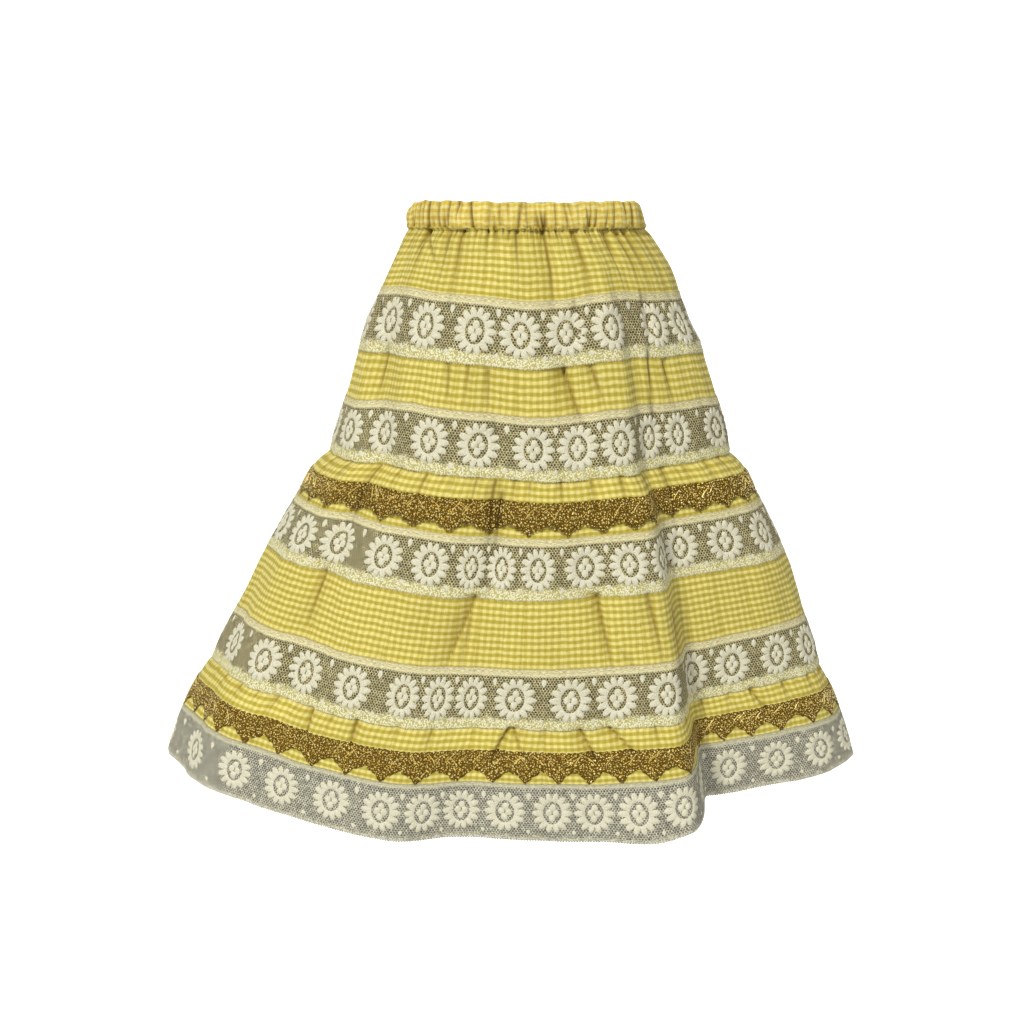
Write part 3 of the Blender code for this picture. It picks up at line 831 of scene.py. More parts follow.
# %% [markdown]
# ## Close stitches
# The daisies are the same cotton, worked so closely that no hole is left. Small round
# stitches catch the light on top and go darker between: a cell texture paints that light
# and shade into the colour, and bumps each stitch too. The real stitches are about 0.6 mm
# across and are drawn at 1.1 mm, so that they show.

# %% Stitch the flower cotton
DRAWN_STITCH = 0.0011


def stitch_cotton(name, light, dark):
    """Dense stitching, painted lighter on top of each stitch and darker between, as light and shade."""
    material, shader, add, flat, across, down = new_material(name)
    cells = add("TexVoronoi", flat, {"Scale": 1 / DRAWN_STITCH})
    tone = add("MapRange", cells, 0.15, 0.75)
    # Painted light and shade: the middle of each stitch gets the light colour, the gaps between the dark
    # one.
    colour = add("Mix", tone, {6: linear(light), 7: linear(dark)}, data_type="RGBA")
    bump = add("Bump", {"Height": tone, "Strength": 0.5, "Distance": 0.0003}, invert=True)
    rough = add("MapRange", tone, {3: 0.72, 4: 0.9})
    feed(shader, {"Base Color": colour, "Roughness": rough, "Normal": bump, "Sheen Weight": 0.1})
    return material


daisy_cotton = stitch_cotton("close_stitched_cotton", "#F8F5DE", "#D8D1AE")

# %% [markdown]
# ## Metallic thread
# The gold trim is knitted from a dark brown polyester thread and a flat metallic one,
# which is a strip of lacquered foil. Foil is a metal, so the IOR keeps its default, but
# the lacquer and the bumpy path of the thread spread its shine: metallic is a little
# lower than for bare metal and the roughness higher. It glints in dots. In creases its
# colour is painted nearly black, as shade. The lower edge of the knit is loose, and lets
# the cloth behind show through: over its last 11 mm on the upper trim, over 3 mm on the lower one.

# %% Spin the gold thread
DRAWN_LOOP = 0.0020
GOLD_PAINTED_SHADE = 0.8


def knit_gold(name, fringe):
    """The trim's ground: dark thread with foil loops between, frayed over the last of its depth."""
    material, shader, add, flat, across, down = new_material(name)
    loops = add("TexVoronoi", flat, {"Scale": 1 / DRAWN_LOOP, "Randomness": 0.85})
    foil = add("MapRange", loops, 0.42, 0.2)
    picked = add("SeparateColor", loops.outputs["Color"])
    chosen = add("MapRange", picked, 0.35, 0.75)
    foil = add("Math", foil, chosen, operation="MULTIPLY")
    tangle = add("TexNoise", flat, {"Scale": 700.0, "Detail": 3.0, "Roughness": 0.7})
    tangled = add("MapRange", tangle, 0.3, 0.75)
    ground = add("Mix", tangled, {6: linear("#281800"), 7: linear("#8E6A04")}, data_type="RGBA")
    colour = add("Mix", foil, {6: ground, 7: linear("#EBCB62")}, data_type="RGBA")
    # Painted shade: in creases the colour is mixed towards nearly black.
    painted_crease_shade = add("Attribute", attribute_name="painted_crease_shade")
    painted_shade_share = add("Math", painted_crease_shade.outputs["Fac"], GOLD_PAINTED_SHADE, operation="MULTIPLY")
    coloured = add("Mix", painted_shade_share, {6: colour, 7: linear("#241400")}, data_type="RGBA")
    above = add("Attribute", attribute_name="above_edge")
    fluff = add("TexNoise", flat, {"Scale": 420.0, "Detail": 2.0})
    worn = add("Math", fluff, -fringe, above.outputs["Fac"], operation="MULTIPLY_ADD")
    alpha = add("MapRange", worn, -0.6 * fringe, 0.4 * fringe)
    height = add("Math", foil, tangle, operation="ADD")
    bump = add("Bump", {"Height": height, "Strength": 0.8, "Distance": 0.0006})
    metal = add("MapRange", foil, {3: 0.0, 4: 0.6})
    rough = add("MapRange", foil, {3: 0.6, 4: 0.42})
    feed(shader, {"Base Color": coloured, "Metallic": metal, "Roughness": rough, "Alpha": alpha})
    feed(shader, {"Normal": bump, "Specular IOR Level": 0.15})
    return material


def foil_thread(name, light, dark):
    """Lacquered foil strip, its colour changing from one stretch to the next."""
    material, shader, add, flat, across, down = new_material(name)
    change = add("TexNoise", flat, {"Scale": 320.0, "Detail": 1.0})
    mix = add("MapRange", change, 0.38, 0.62)
    colour = add("Mix", mix, {6: linear(dark), 7: linear(light)}, data_type="RGBA")
    rough = add("MapRange", change, 0.3, 0.7, 0.52, 0.36)
    bump = add("Bump", {"Height": change, "Strength": 0.3, "Distance": 0.0002})
    feed(shader, {"Base Color": colour, "Roughness": rough, "Normal": bump, "Metallic": 0.30})
    return material


fringed_gold = knit_gold("bronze_knit_frayed", 0.0110)
neat_gold = knit_gold("bronze_knit", 0.0030)
trim_foil = foil_thread("gold_foil_thread", "#FFEFA4", "#EFCF62")

# %% [markdown]
# ## The gingham panels
# Each tier is a straight strip of gingham, joined into a tube, and its top edge gathered.
# The strip's own width sets how many checks go round, so it is a whole number of repeats.
# The panels run on behind the lace: a centimetre under its tape, and up behind its foot,
# where the yellow cloth shows through the holes. That hidden edge was cut by hand, and
# wanders. A panel is a thin shell 0.7 mm thick, of the same cloth inside and out.

# %% Lay the gingham panels
COTTON = 0.0007
SEAM_TUCK = 0.0012
TUCK_LENGTH = 0.003
PANELS = (
    # name, CAD node, tier, repeats round, columns, rows, top drop, foot drop, wander at the top
    ("tier1_upper_gingham", "tier1_upper_panel", 0, 170, 900, 23, 0.0235, 0.1120, 0.0),
    ("tier1_lower_gingham", "tier1_lower_panel", 0, 170, 640, 18, 0.1610, 0.2440, 0.005),
    ("tier2_upper_gingham", "tier2_upper_panel", 1, 252, 1000, 23, 0.2910, 0.3920, 0.004),
    ("tier2_lower_gingham", "tier2_lower_panel", 1, 252, 820, 22, 0.4340, 0.5480, 0.005),
    ("tier3_gingham", "tier3_panel", 2, 276, 1160, 24, 0.5900, 0.6880, 0.004),
)
pieces = {}
flat_sizes = {}
for name, node, tier, repeats, columns, rows, top, foot, wander in PANELS:
    share = np.arange(columns) / columns - 0.5
    wave = np.sin(9 * math.tau * share + 1.0) + 0.7 * np.sin(23 * math.tau * share + 2.0)
    tops = top + wander * 0.5 * wave
    down = np.linspace(0.0, 1.0, rows)[:, None]
    drop = tops[None, :] + (foot - tops[None, :]) * down
    share = np.broadcast_to(share, drop.shape)
    width = repeats * CHECK_REPEAT
    seam = (CASING_FOOT, SEAM_1, SEAM_2)[tier]
    tuck = -SEAM_TUCK * np.clip((seam + TUCK_LENGTH - drop) / TUCK_LENGTH, 0.0, 1.0)
    pieces[name] = add_shell(
        name, share, drop, tuck, COTTON, width, drop, [panel_gingham], pleat_shares[tier])
    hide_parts(node)
    flat_sizes[name] = (width, foot - top)

# %% [markdown]
# ## The gathered casing
# The waistband is a casing: a strip folded over a wide elastic, which pulls it into close
# puckers. Seen from the side it is a soft flattened tube that closes at its foot. The
# tube's outline is listed as drops and lifts, swept round the waist, and creased by uneven
# puckers, some of which run over its top and some only part of the way. Those in front are
# listed one by one. The top edge rises and dips by a millimetre or two. At the two ends the
# elastic turns: the casing sags and tucks in there, which rounds off its corners.
# Each pucker also darkens the casing's colour along its valley: that is painted shade.

# %% Gather the waist casing
CASING_OUTLINE = (
    # drop, lift in mm, share of the pucker depth
    (0.0262, -1.4, 0.3), (0.0245, -0.1, 0.7), (0.0215, 1.6, 1.0), (0.0165, 3.2, 1.0), (0.0105, 3.9, 1.0),
    (0.0045, 3.7, 1.0), (-0.0005, 2.6, 0.9), (-0.0042, 1.0, 0.6), (-0.0058, -0.7, 0.35),
    (-0.0045, -2.2, 0.5), (-0.0010, -3.2, 0.7), (0.0060, -3.6, 0.8), (0.0140, -3.6, 0.8),
    (0.0210, -3.2, 0.7), (0.0258, -2.2, 0.3),
)
CASING_COLUMNS = 1100
PUCKERS = 80
PUCKER_DEPTH = 0.0088
PUCKER_REACH = 0.0020
SIDE_RISE = 0.0065
SAG_START = 0.93
SIDE_SAG = (0.0055, 0.0015)
SIDE_TUCK = (0.0024, 0.0036)
TOP_RISE = (
    # share of the half width, millimetres higher in front
    (-1.0, 0.0), (-0.85, 2.2), (-0.5, 1.2), (0.0, -1.2), (0.3, -0.6), (0.6, 1.0), (0.9, 1.6), (1.0, 0.5),
)
PUCKERS_IN_FRONT = (
    # angles
    -170, -164, -160, -153, -147.5, -142.8, -138.8, -135.2, -131.2, -129.2, -123.8, -121.5,
    -115.8, -106.8, -104.8, -102, -97.8, -92.8, -89.5, -84.8, -82.8, -81, -76.2, -71,
    -68.5, -65, -60.5, -58, -54.2, -48, -42.8, -34.2, -27, -15.5,
)
CASING_CUT = 128 * CHECK_REPEAT
OVERLAP = 0.002
waist_length = float(ring_lengths[0])
in_front = np.interp(PUCKERS_IN_FRONT, share_angles[0], shares)
hidden = PUCKERS - len(in_front)
behind = in_front[-1] + np.arange(1, hidden + 1) / (hidden + 1) * (in_front[0] + 1.0 - in_front[-1])
behind += dice.uniform(-0.5, 0.5, hidden) / PUCKERS
pucker_places = np.concatenate([in_front, behind])
pucker_ends = dice.choice([-1.0, 0.0, 1.0], PUCKERS, p=[0.25, 0.35, 0.40])
pucker_depths = PUCKER_DEPTH * dice.uniform(0.4, 1.0, PUCKERS)
pucker_lean = dice.uniform(-0.22, 0.22, PUCKERS)
pucker_reach = PUCKER_REACH * dice.uniform(0.6, 1.5, (PUCKERS, 2))

outline = np.array(CASING_OUTLINE)
casing_share, casing_drop = np.meshgrid(np.arange(CASING_COLUMNS) / CASING_COLUMNS - 0.5, outline[:, 0])
casing_lift = np.repeat(outline[:, 1:2] * MILLIMETRE, CASING_COLUMNS, axis=1)
puckered = outline[:, 2:3]
casing_painted_shade = np.zeros(casing_drop.shape)
casing_down = (casing_drop - casing_drop.min()) / np.ptp(casing_drop)
for place, deep, lean, end, (left, right) in zip(
        pucker_places, pucker_depths, pucker_lean, pucker_ends, pucker_reach):
    line = place + lean * (casing_drop - 0.010)
    # It runs all the way over, or fades out towards the top or the foot.
    runs = np.clip(0.5 + end * (casing_down - 0.45) * 1.5, 0.06, 1.0) if end else np.ones(casing_down.shape)
    away = ((casing_share - line + 0.5) % 1.0 - 0.5) * waist_length
    valley = np.exp(-np.abs(away) / (np.where(away < 0, left, right) * (0.5 + 0.7 * runs)))
    casing_lift -= deep * runs * puckered * valley
    # Painted shade along the pucker: a dark line and a fainter tail.
    dark = 0.6 * np.exp(-(away / (PAINTED_SHADE_LINE * MILLIMETRE)) ** 2) + 0.4 * valley
    casing_painted_shade = np.maximum(casing_painted_shade, np.clip(deep / PUCKER_DEPTH, 0.0, 1.0) * runs * dark)


def ripple(height, rounds, start=0.0):
    """A wave round the casing: its height, how many there are and where it starts."""
    return height * np.sin(math.tau * casing_share * rounds + start)


casing_lift += ripple(0.0004, 31, 2.0) * puckered
near_top = np.clip((0.012 - casing_drop) / 0.012, 0.0, 1.0)
casing_drop = casing_drop + (ripple(0.0006, 19) + ripple(0.0005, 43, 1.0)) * near_top
near_foot = np.clip((casing_drop - 0.016) / 0.010, 0.0, 1.0)
casing_drop = casing_drop + (ripple(0.0011, 37, 0.5) + ripple(0.0009, 61)) * near_foot

level = on_cloth(casing_share, casing_drop, casing_lift)
to_side = np.abs(level[..., 0]) / half_width[0]
tuck = np.where(level[..., 0] < 0, *SIDE_TUCK) * np.minimum(to_side, 1.0) ** 6
tuck *= np.clip((CASING_FOOT - casing_drop) / 0.008, 0.0, 1.0)
casing_points = on_cloth(casing_share, casing_drop, casing_lift - tuck)
across, front, height = np.moveaxis(casing_points, -1, 0)
height -= np.minimum(casing_drop - WAIST_TOP, 0.0)
upper = np.clip((0.024 - casing_drop) / 0.030, 0.0, 1.0)
height += SIDE_RISE * np.minimum(to_side, 1.0) ** 2 * upper
sag = np.where(across < 0, *SIDE_SAG)
height -= sag * np.clip((to_side - SAG_START) / (1.0 - SAG_START), 0.0, 1.0) ** 2 * upper
rise = np.interp(across / half_width[0], *np.array(TOP_RISE).T) * MILLIMETRE
height += rise * upper * np.clip(-front / 0.02, -0.5, 1.0)

faces, corner_rows, corner_columns = grid_faces(*casing_drop.shape, closed=True)
steps = np.hypot(np.diff(outline[:, 0]), np.diff(outline[:, 1] * MILLIMETRE))
cloth_run = np.concatenate([[0.0], np.cumsum(steps)])
face_depth = float(cloth_run[-1]) / 2
cloth_run = np.append(cloth_run, cloth_run[-1] + OVERLAP)
places = np.stack([corner_columns / CASING_COLUMNS * CASING_CUT, cloth_run[corner_rows]], axis=-1)
# The outline climbs the outer face first, so its faces are turned to look outwards.
# The painted shade of the puckers goes with it as a mark on each point.
pieces["gathered_casing"] = add_piece(
    "gathered_casing", casing_points.reshape(-1, 3), faces[:, ::-1], places[:, ::-1], [casing_gingham],
    {"painted_crease_shade": casing_painted_shade})
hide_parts("waistband")
flat_sizes["gathered_casing"] = (CASING_CUT, face_depth)
print("casing cut", round(CASING_CUT, 2), "m, gathered to", round(waist_length, 2), "m")

# %% [markdown]
# ## One daisy
# Each daisy has fourteen round petals that run together at their feet, round an open oval
# with a knot of four small lobes in it. It is drawn once, flat, as rings of points: the
# outer edge swings out and in fourteen times, and each petal is padded in the middle.
# The leaf and the bud between the daisies are small ovals, drawn the same way.

# %% Draw the flat motifs
PETALS = 14
PETAL_STEPS = (-0.5, -0.43, -0.36, -0.2, 0.0, 0.2, 0.36, 0.43)
PETAL_HALF = 0.455
OVAL = (0.0120, 0.0155)
PETAL_TIP = (0.0270, 0.0280)
PETAL_FOOT_SHARE = 0.26
PETAL_RINGS = (
    # share of the way out, height in mm, how far the ring follows the petals
    (0.0, 0.0, 0.0), (0.10, 0.9, 0.0), (0.55, 1.0, 0.8), (0.92, 0.9, 1.0), (1.0, 0.0, 1.0),
)
KNOT_HEIGHT = 0.0011
KNOT_LOBES = (
    # across, down, half width, half height
    (-0.0048, -0.0005, 0.0043, 0.0050), (0.0048, 0.0005, 0.0043, 0.0050),
    (0.0007, -0.0074, 0.0044, 0.0052), (-0.0007, 0.0074, 0.0044, 0.0052),
)


def daisy():
    """Points (across, down, height) and faces of one daisy about its own middle."""
    count = PETALS * len(PETAL_STEPS)
    phase = np.tile(PETAL_STEPS, PETALS)
    turned = (np.repeat(np.arange(PETALS), len(PETAL_STEPS)) + phase) / PETALS * math.tau
    reach = np.sqrt(np.clip(1.0 - (np.abs(phase) / PETAL_HALF) ** 1.9, 0.0, 1.0))
    edge = PETAL_FOOT_SHARE + (1.0 - PETAL_FOOT_SHARE) * reach
    points = []
    for share, height, follow in PETAL_RINGS:
        along = share * (1.0 - follow + follow * edge)
        pad = height * MILLIMETRE * (1.0 - 0.55 * follow * (np.abs(phase) / 0.5) ** 3)
        wide = OVAL[0] + (PETAL_TIP[0] - OVAL[0]) * along
        tall = OVAL[1] + (PETAL_TIP[1] - OVAL[1]) * along
        points.append(np.column_stack([wide * np.cos(turned), tall * np.sin(turned), pad]))
    return np.concatenate(points), grid_faces(len(points), count)[0]


def oval(across, down, half_wide, half_tall, height, sides=12, pointed=0.0):
    """A padded oval: a rim on the cloth, a raised ring and a middle."""
    turned = np.arange(sides) / sides * math.tau
    squeeze = 1.0 - pointed * np.clip(np.sin(turned), 0.0, 1.0)
    points = []
    for share, lift in ((1.0, 0.0), (0.72, 0.8), (0.25, 1.0)):
        points.append(np.column_stack([
            across + half_wide * share * np.cos(turned) * squeeze,
            down + half_tall * share * np.sin(turned),
            np.full(sides, height * lift),
        ]))
    faces = grid_faces(3, sides)[0][:, ::-1]
    middle = [[k, k + 1, sides - 2 - k, sides - 1 - k] for k in range(sides // 2 - 1)]
    return np.concatenate(points), np.concatenate([faces, np.array(middle) + 2 * sides])


def gathered_motifs(motifs):
    """Several flat motifs as one."""
    points, faces, start = [], [], 0
    for motif_points, motif_faces in motifs:
        points.append(motif_points)
        faces.append(motif_faces + start)
        start += len(motif_points)
    return np.concatenate(points), np.concatenate(faces)


flower = gathered_motifs([daisy(), *(oval(*lobe, KNOT_HEIGHT) for lobe in KNOT_LOBES)])
leaf = oval(0.0, 0.0, 0.0036, 0.0056, 0.0005, 10, 0.55)
bud = oval(0.0, 0.0, 0.0028, 0.0036, 0.0005, 10, 0.45)
LEAF_DROP = 0.0175
BUD_DROP = 0.0670
DAISY_DROP = 0.0400
print("one flower has", len(flower[1]) * 2, "triangles")

# %% [markdown]
# ## Five bands of lace
# The same 80 mm lace goes round five times: set into tier 1 twice and tier 2 twice, and
# hanging free below tier 3 as the hem. Its flowers come every 62 mm or so, and the number
# of them round each band is a whole one. Gathers and small tucks make their spacing
# uneven, so those in front are listed one by one, with one more inside each deep fold, and
# crowded ones are squeezed. The ground is one thin shell, and the flowers are a second
# piece that lies on it, bent to the same folds.

# %% Sew on the lace
LACE = 0.0004
LACE_LIFT = 0.0008
BANDS = (
    # name, CAD node, material, drop at the top, at the foot, flowers round, angles of those in front
    ("lace_1", "lace_1", set_in_net, 0.1015, 0.1850, 18, (-128, -109, -93.8, -78.5, -63, -40.5, -23.2)),
    ("lace_2", "lace_2", set_in_net, 0.2330, 0.3145, 22, (
        -137.2, -118.8, -104.5, -89.5, -77.4, -65.3, -53, -40.8, -19)),
    ("lace_3", "lace_3", set_in_net, 0.3800, 0.4560, 27, (
        -150.2, -136.8, -121.8, -110.5, -101.6, -95.2, -87.5, -77.5, -68, -51, -36.2, -18.5)),
    ("lace_4", "lace_4", set_in_net, 0.5370, 0.6120, 32, (
        -185.5, -160.8, -143.6, -132.2, -120.5, -110.3, -104, -98.2, -90.6, -81, -72.8, -63.5, -54.5, -43.5,
        -29.2)),
    ("lace_5", "lace_5", hem_net, 0.6780, 0.7575, 36, (
        -181, -156, -140, -128.6, -118.5, -109.8, -103.3, -97.5, -90.8, -83.6, -77.2, -70.4, -63.2, -48.8,
        -36.5, -22.2)),
)
LACE_ROWS = 22
LACE_COLUMNS_A_FLOWER = 22
FOLD_HIDES_ONE = 0.098
FLOWER_WIDTH = 0.055
LACE_EASE = 1.04
SINK = 0.0001
BAND_MOTIFS = (
    # how far towards the next flower, shape, drop
    (0.0, flower, DAISY_DROP),
    (0.5, leaf, LEAF_DROP),
    (0.5, bud, BUD_DROP),
)


def places_round(by_hand, count, drop):
    """Shares of the ring: given in front, one more inside each deep fold, the rest even behind."""
    row = int(round((drop - WAIST_TOP) / MILLIMETRE))
    in_front = np.interp(by_hand, share_angles[row], shares)
    folded = np.diff(in_front) * ring_lengths[row] > FOLD_HIDES_ONE
    in_front = np.sort(np.concatenate([in_front, (in_front[:-1] + in_front[1:])[folded] / 2]))
    gap = in_front[0] + 1.0 - in_front[-1]
    behind = in_front[-1] + gap * np.arange(1, count - len(in_front) + 1) / (count - len(in_front) + 1)
    return np.concatenate([in_front, behind])


for name, node, knit, top, foot, flowers, by_hand in BANDS:
    middle_drop = (top + foot) / 2
    band_width = float(np.interp(middle_drop, drops, ring_lengths)) * LACE_EASE
    columns = flowers * LACE_COLUMNS_A_FLOWER
    share = np.broadcast_to(np.arange(columns) / columns - 0.5, (LACE_ROWS, columns))
    down = np.broadcast_to(np.linspace(0.0, 1.0, LACE_ROWS)[:, None], share.shape)
    drop = top + (foot - top) * down
    flat = down * LACE_WIDTH
    net = add_shell(name + "_net", share, drop, LACE_LIFT, LACE, band_width, flat, [knit])
    motifs = []
    spots = places_round(by_hand, flowers, round(middle_drop, 3))
    gaps = np.diff(np.append(spots, spots[0] + 1.0))
    squeezed = np.clip(np.minimum(gaps, np.roll(gaps, 1)) * band_width / FLOWER_WIDTH, 0.7, 1.0)
    for spot, gap, narrow in zip(spots, gaps, squeezed):
        for shift, (shape, faces), lower in BAND_MOTIFS:
            points = shape.copy()
            points[:, 0] = points[:, 0] * narrow + (spot + shift * gap) * band_width
            points[:, 1] += lower
            motifs.append((points, faces))
    points, faces = gathered_motifs(motifs)
    across, down, height = points.T
    lowered = top + (foot - top) * down / LACE_WIDTH
    on_band = on_cloth(across / band_width, lowered, LACE_LIFT - SINK + height)
    daisies = add_piece(name + "_daisies", on_band, faces, points[faces][..., :2], [daisy_cotton])
    pieces[name + "_net"] = net
    pieces[name + "_daisies"] = daisies
    flat_sizes[name + "_net"] = (band_width, LACE_WIDTH)
    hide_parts(node)
    print(name, "is", round(band_width, 2), "m long,", len(faces) * 2, "triangles in its flowers")

# %% [markdown]
# ## Two gold trims
# The gold trim is a knitted band about 42 mm deep at its points. Its lower edge runs in
# round arches between them. Only the edge needs shaping: every row of the grid is a share
# of the way down to it. Foil dots and long foil threads are laid on top as small raised
# pieces, because a glint has to come from a shape that turns to the light. A dot is a
# pyramid with its peak off centre, and dots thin out towards the edge. A thread is a low
# ridge that runs at a slant.

# %% Shape the foil
TRIM_LIFT = 0.0012
DOT_SPACING = 0.0030
DOT_CORNERS = 4
THREAD_STEPS = 5
THREAD_HALF = 0.00065
THREAD_INSET = 0.0012


def foil_dots(width, top, point, bare, edge):
    """Small pyramids all over a trim, but for a ragged strip along its edge."""
    counts = int(width / DOT_SPACING), int((point - top) / DOT_SPACING)
    spots = np.stack(np.meshgrid(np.arange(counts[0]), np.arange(counts[1])), axis=-1).reshape(-1, 2)
    spots = (spots + dice.uniform(0.05, 0.95, spots.shape)) * DOT_SPACING
    share = spots[:, 0] / width - 0.5
    drop = top + spots[:, 1]
    kept = drop < edge(share) - bare * dice.random(len(share))
    share, drop = share[kept], drop[kept]
    count = len(share)
    size = dice.uniform(0.0005, 0.0014, count)
    spin = dice.uniform(0.0, math.tau, count)
    points = []
    for corner in range(DOT_CORNERS):
        turned = spin + corner * math.tau / DOT_CORNERS
        points.append(on_cloth(
            share + size * np.cos(turned) / width, drop + size * np.sin(turned), TRIM_LIFT - SINK))
    across, down = dice.uniform(-0.3, 0.3, (2, count)) * size
    points.append(on_cloth(share + across / width, drop + down, TRIM_LIFT + 0.6 * size))
    dot = np.arange(count)
    faces = []
    for corner in range(DOT_CORNERS):
        around = (corner, DOT_CORNERS, (corner + 1) % DOT_CORNERS)
        faces.append(np.stack([ring * count + dot for ring in around], axis=1))
    flat = np.stack([share * width, -drop], axis=1)
    places = np.repeat(np.tile(flat, (DOT_CORNERS, 1))[:, None], 3, axis=1)
    return np.concatenate(points), np.concatenate(faces), places


def foil_threads(width, top, threads, edge):
    """Long low ridges that start near the top of a trim and run down it at a slant."""
    along = np.linspace(0.0, 1.0, THREAD_STEPS + 1)[None, :]
    begin = dice.uniform(-0.5, 0.5, (threads, 1))
    lean = dice.uniform(30, 60, (threads, 1)) * dice.choice([-1, 1], (threads, 1))
    long = dice.uniform(0.011, 0.018, (threads, 1))
    across = long * along * np.cos(np.radians(lean)) + 0.0012 * np.sin(math.pi * along)
    down = long * along * np.abs(np.sin(np.radians(lean)))
    share = begin + np.sign(lean) * across / width
    drop = top + 0.002 + dice.uniform(0.0, 0.006, (threads, 1)) + down
    drop = np.minimum(drop, edge(share) - THREAD_INSET)
    points = []
    for side, lift in ((-1, -SINK), (0, 0.0007), (1, -SINK)):
        points.append(on_cloth(share + side * THREAD_HALF / width, drop, TRIM_LIFT + lift).reshape(-1, 3))
    rail = np.arange(share.size).reshape(share.shape)
    faces = []
    for near, far in ((rail, rail + rail.size), (rail + rail.size, rail + 2 * rail.size)):
        faces.append(np.stack([near[:, :-1], near[:, 1:], far[:, 1:], far[:, :-1]], axis=-1).reshape(-1, 4))
    faces = np.concatenate(faces)
    flat = np.tile(np.stack([(share * width).ravel(), -drop.ravel()], axis=1), (3, 1))
    return np.concatenate(points), faces, flat[faces]


print("a foil dot covers", DOT_SPACING * 1000, "mm of the trim, a foil thread has", THREAD_STEPS, "steps")

# %% Sew on the gold trims
TRIM = 0.0007
SCALLOP_STEPS = 16
TRIM_ROWS = 9
TRIMS = (
    # name, CAD node, material, depth without foil, top, arch, point, points round, long threads,
    # angles of those in front
    ("gold_trim_2", "gold_trim_2", fringed_gold, 0.008, 0.3375, 0.3690, 0.3800, 38, 110, (
        -137, -126, -117, -108, -99, -90, -81, -73)),
    ("gold_trim_3", "gold_trim_3", neat_gold, 0.004, 0.6375, 0.6635, 0.6800, 54, 150, (
        -147.8, -139.5, -131, -123.5, -116.8, -110.5, -104.8, -98.6, -92.8, -87.6, -82.6, -77.6, -72.6,
        -67.4, -61, -54.8, -48.8, -42.2, -33.5, -22)),
)


def trim_edge(share, tips, arch, point):
    """Drop of the scalloped edge at shares of the ring: low at its tips, high in the arches between."""
    tip_shares = np.concatenate([tips[-1:] - 1.0, tips, tips[:1] + 1.0])
    turned = (share - tip_shares[0]) % 1.0 + tip_shares[0]
    phase = np.interp(turned, tip_shares, np.arange(-1, len(tips) + 1)) % 1.0
    return arch + (point - arch) * np.abs(2 * phase - 1) ** 1.5


for name, node, knit, bare, top, arch, point, points_round, threads, by_hand in TRIMS:
    trim_width = float(np.interp(arch, drops, ring_lengths))
    tips = places_round(by_hand, points_round, round(arch, 3))
    edge = functools.partial(trim_edge, tips=tips, arch=arch, point=point)
    columns = points_round * SCALLOP_STEPS
    share = np.arange(columns) / columns - 0.5
    round_scallops = math.tau * share * points_round
    ragged = np.sin(round_scallops * 5.3) + np.sin(round_scallops * 2.7 + 1.0)
    foot = edge(share) + 0.0008 * ragged
    start = top + 0.0007 * np.sin(round_scallops * 5)
    down = np.linspace(0.0, 1.0, TRIM_ROWS)[:, None]
    drop = start[None, :] + (foot - start)[None, :] * down
    share = np.broadcast_to(share, drop.shape)
    band = add_shell(name + "_band", share, drop, TRIM_LIFT, TRIM, trim_width, drop, [knit])
    pieces[name + "_band"] = band
    flat_sizes[name + "_band"] = (trim_width, point - top)
    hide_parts(node)
    foils = {
        name + "_foil_dots": foil_dots(trim_width, top, point, bare, edge),
        name + "_foil_threads": foil_threads(trim_width, top, threads, edge),
    }
    for foil_name, (points, faces, places) in foils.items():
        pieces[foil_name] = add_piece(foil_name, points, faces, places, [trim_foil], smooth=False)
    print(name, "is", round(trim_width, 2), "m long with", threads, "foil threads")

# %% [markdown]
# ## Riding on the body and cut sizes
# The skirt has no joint, so everything rides on its one body. The size each sheet of cloth
# was cut to is printed, as far as it shows: all the way round, and the drop that isn't
# hidden.

# %% Let every piece ride on the body
for name, piece in pieces.items():
    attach(piece, "root")

for name, size in flat_sizes.items():
    print(name, "cut", round(size[0], 3), "by", round(size[1], 3), "m")

# %% [markdown]
# ## A plain pale stage
# The skirt hangs in front of a white sweep. A floor and a wall would meet in a line, so
# one sheet curves up behind instead. It lies far below the hem, so that the shadow falls
# outside the picture. Its paper glows a little, as if lamps lit it from the sides, and
# diffuse light from it is left out, so that the inside of the skirt stays in shade.

# %% Sweep up the backdrop
FLOOR_DROP = 3.2
SWEEP_RADIUS = 1.6
SWEEP_STEPS = 12
SWEEP_FRONT = -6.0
SWEEP_TOP = 6.0
SWEEP_BACK = 3.0
SWEEP_HALF_WIDTH = 9.0
BACKDROP_GLOW = 0.55
profile = [(SWEEP_FRONT, -FLOOR_DROP), (SWEEP_BACK, -FLOOR_DROP)]
for k in range(1, SWEEP_STEPS + 1):
    bend = k / SWEEP_STEPS * math.pi / 2
    rise = SWEEP_RADIUS * (1 - math.cos(bend))
    profile.append((SWEEP_BACK + SWEEP_RADIUS * math.sin(bend), -FLOOR_DROP + rise))
profile.append((SWEEP_BACK + SWEEP_RADIUS, SWEEP_TOP))
sweep_points = [(x, y, z) for x in (-SWEEP_HALF_WIDTH, SWEEP_HALF_WIDTH) for y, z in profile]
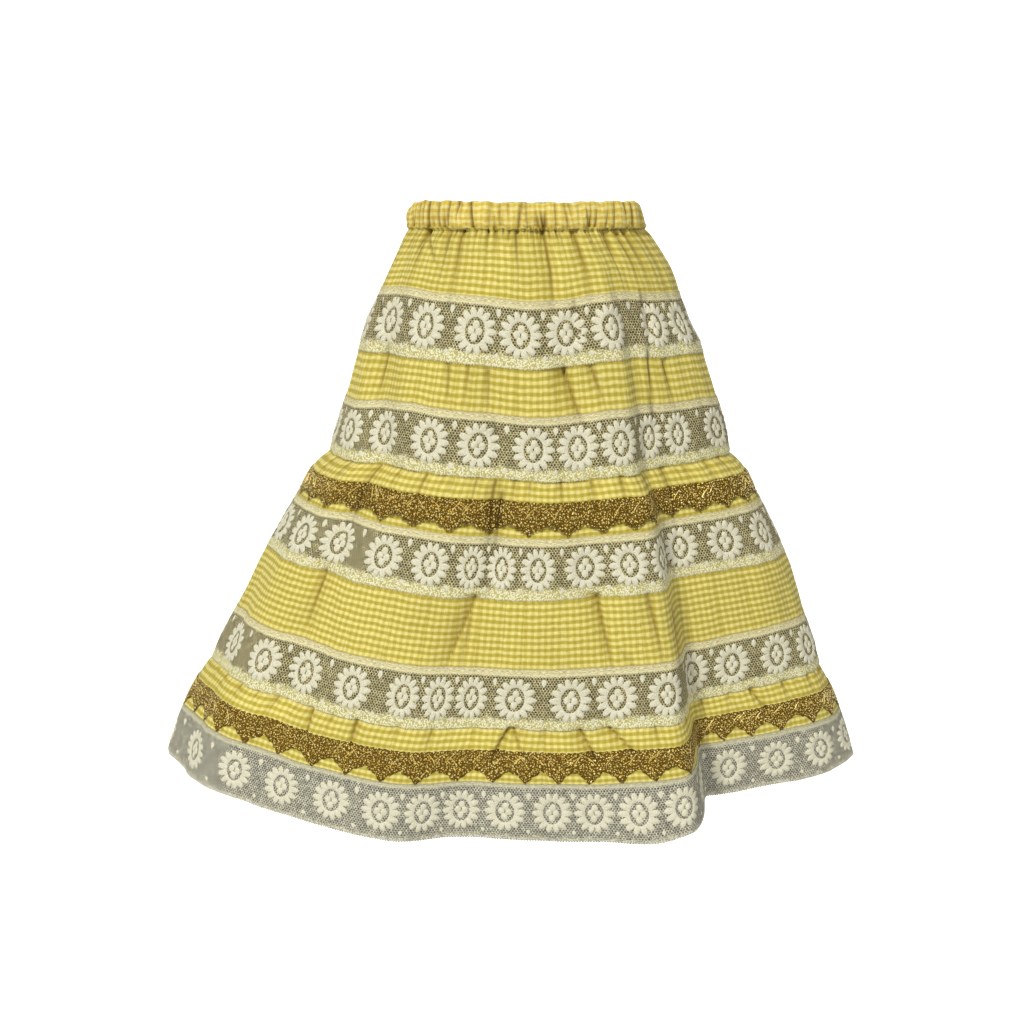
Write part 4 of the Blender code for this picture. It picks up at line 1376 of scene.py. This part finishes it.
sweep_faces = [(k, len(profile) + k, len(profile) + k + 1, k + 1) for k in range(len(profile) - 1)]
sweep_mesh = bpy.data.meshes.new("pale_sweep")
sweep_mesh.from_pydata(sweep_points, [], sweep_faces)
sweep_mesh.polygons.foreach_set("use_smooth", [True] * len(sweep_faces))
sweep = bpy.data.objects.new("pale_sweep", sweep_mesh)
bpy.context.scene.collection.objects.link(sweep)
paper = bpy.data.materials.new("matt_white_paper")
paper.use_nodes = True
feed(paper.node_tree.nodes["Principled BSDF"], {
    "Base Color": linear("#FBFBFA"),
    "Roughness": 0.95,
    "Emission Color": linear("#FFFFFF"),
    "Emission Strength": BACKDROP_GLOW,
})
sweep_mesh.materials.append(paper)
sweep.visible_diffuse = False
print("sweep", FLOOR_DROP, "m down and", SWEEP_BACK + SWEEP_RADIUS, "m behind")

# %% [markdown]
# ## Soft light
# The photograph is lit softly from the front and above, with hardly a shadow behind. A
# dim white world fills the folds. The rest comes from two broad suns: a sun has no
# falloff, so the sweep far behind stays as bright as the skirt, and a wide angle makes
# its shadows soft. Standard colour management keeps the yellow as clean as it was shot.

# %% Set the lights
WORLD_STRENGTH = 0.34
SUNS = (
    # name, direction it shines in, angle across in degrees, strength
    ("key_sun", (0.62, 1.0, -0.72), 9.0, 2.05),
    ("fill_sun", (-0.75, 1.0, -0.35), 40.0, 0.55),
)
bpy.context.scene.view_settings.view_transform = "Standard"
world = bpy.data.worlds.new("white_world")
world.use_nodes = True
feed(world.node_tree.nodes["Background"], {"Color": linear("#FFFFFF"), "Strength": WORLD_STRENGTH})
bpy.context.scene.world = world
for name, direction, across, strength in SUNS:
    lamp = bpy.data.lights.new(name, "SUN")
    lamp.angle = math.radians(across)
    lamp.energy = strength
    light = bpy.data.objects.new(name, lamp)
    flat_way = math.hypot(direction[0], direction[1])
    light.rotation_euler = (math.atan2(flat_way, -direction[2]), 0, math.atan2(-direction[0], direction[1]))
    bpy.context.scene.collection.objects.link(light)
print("world", WORLD_STRENGTH, "and", len(SUNS), "suns")
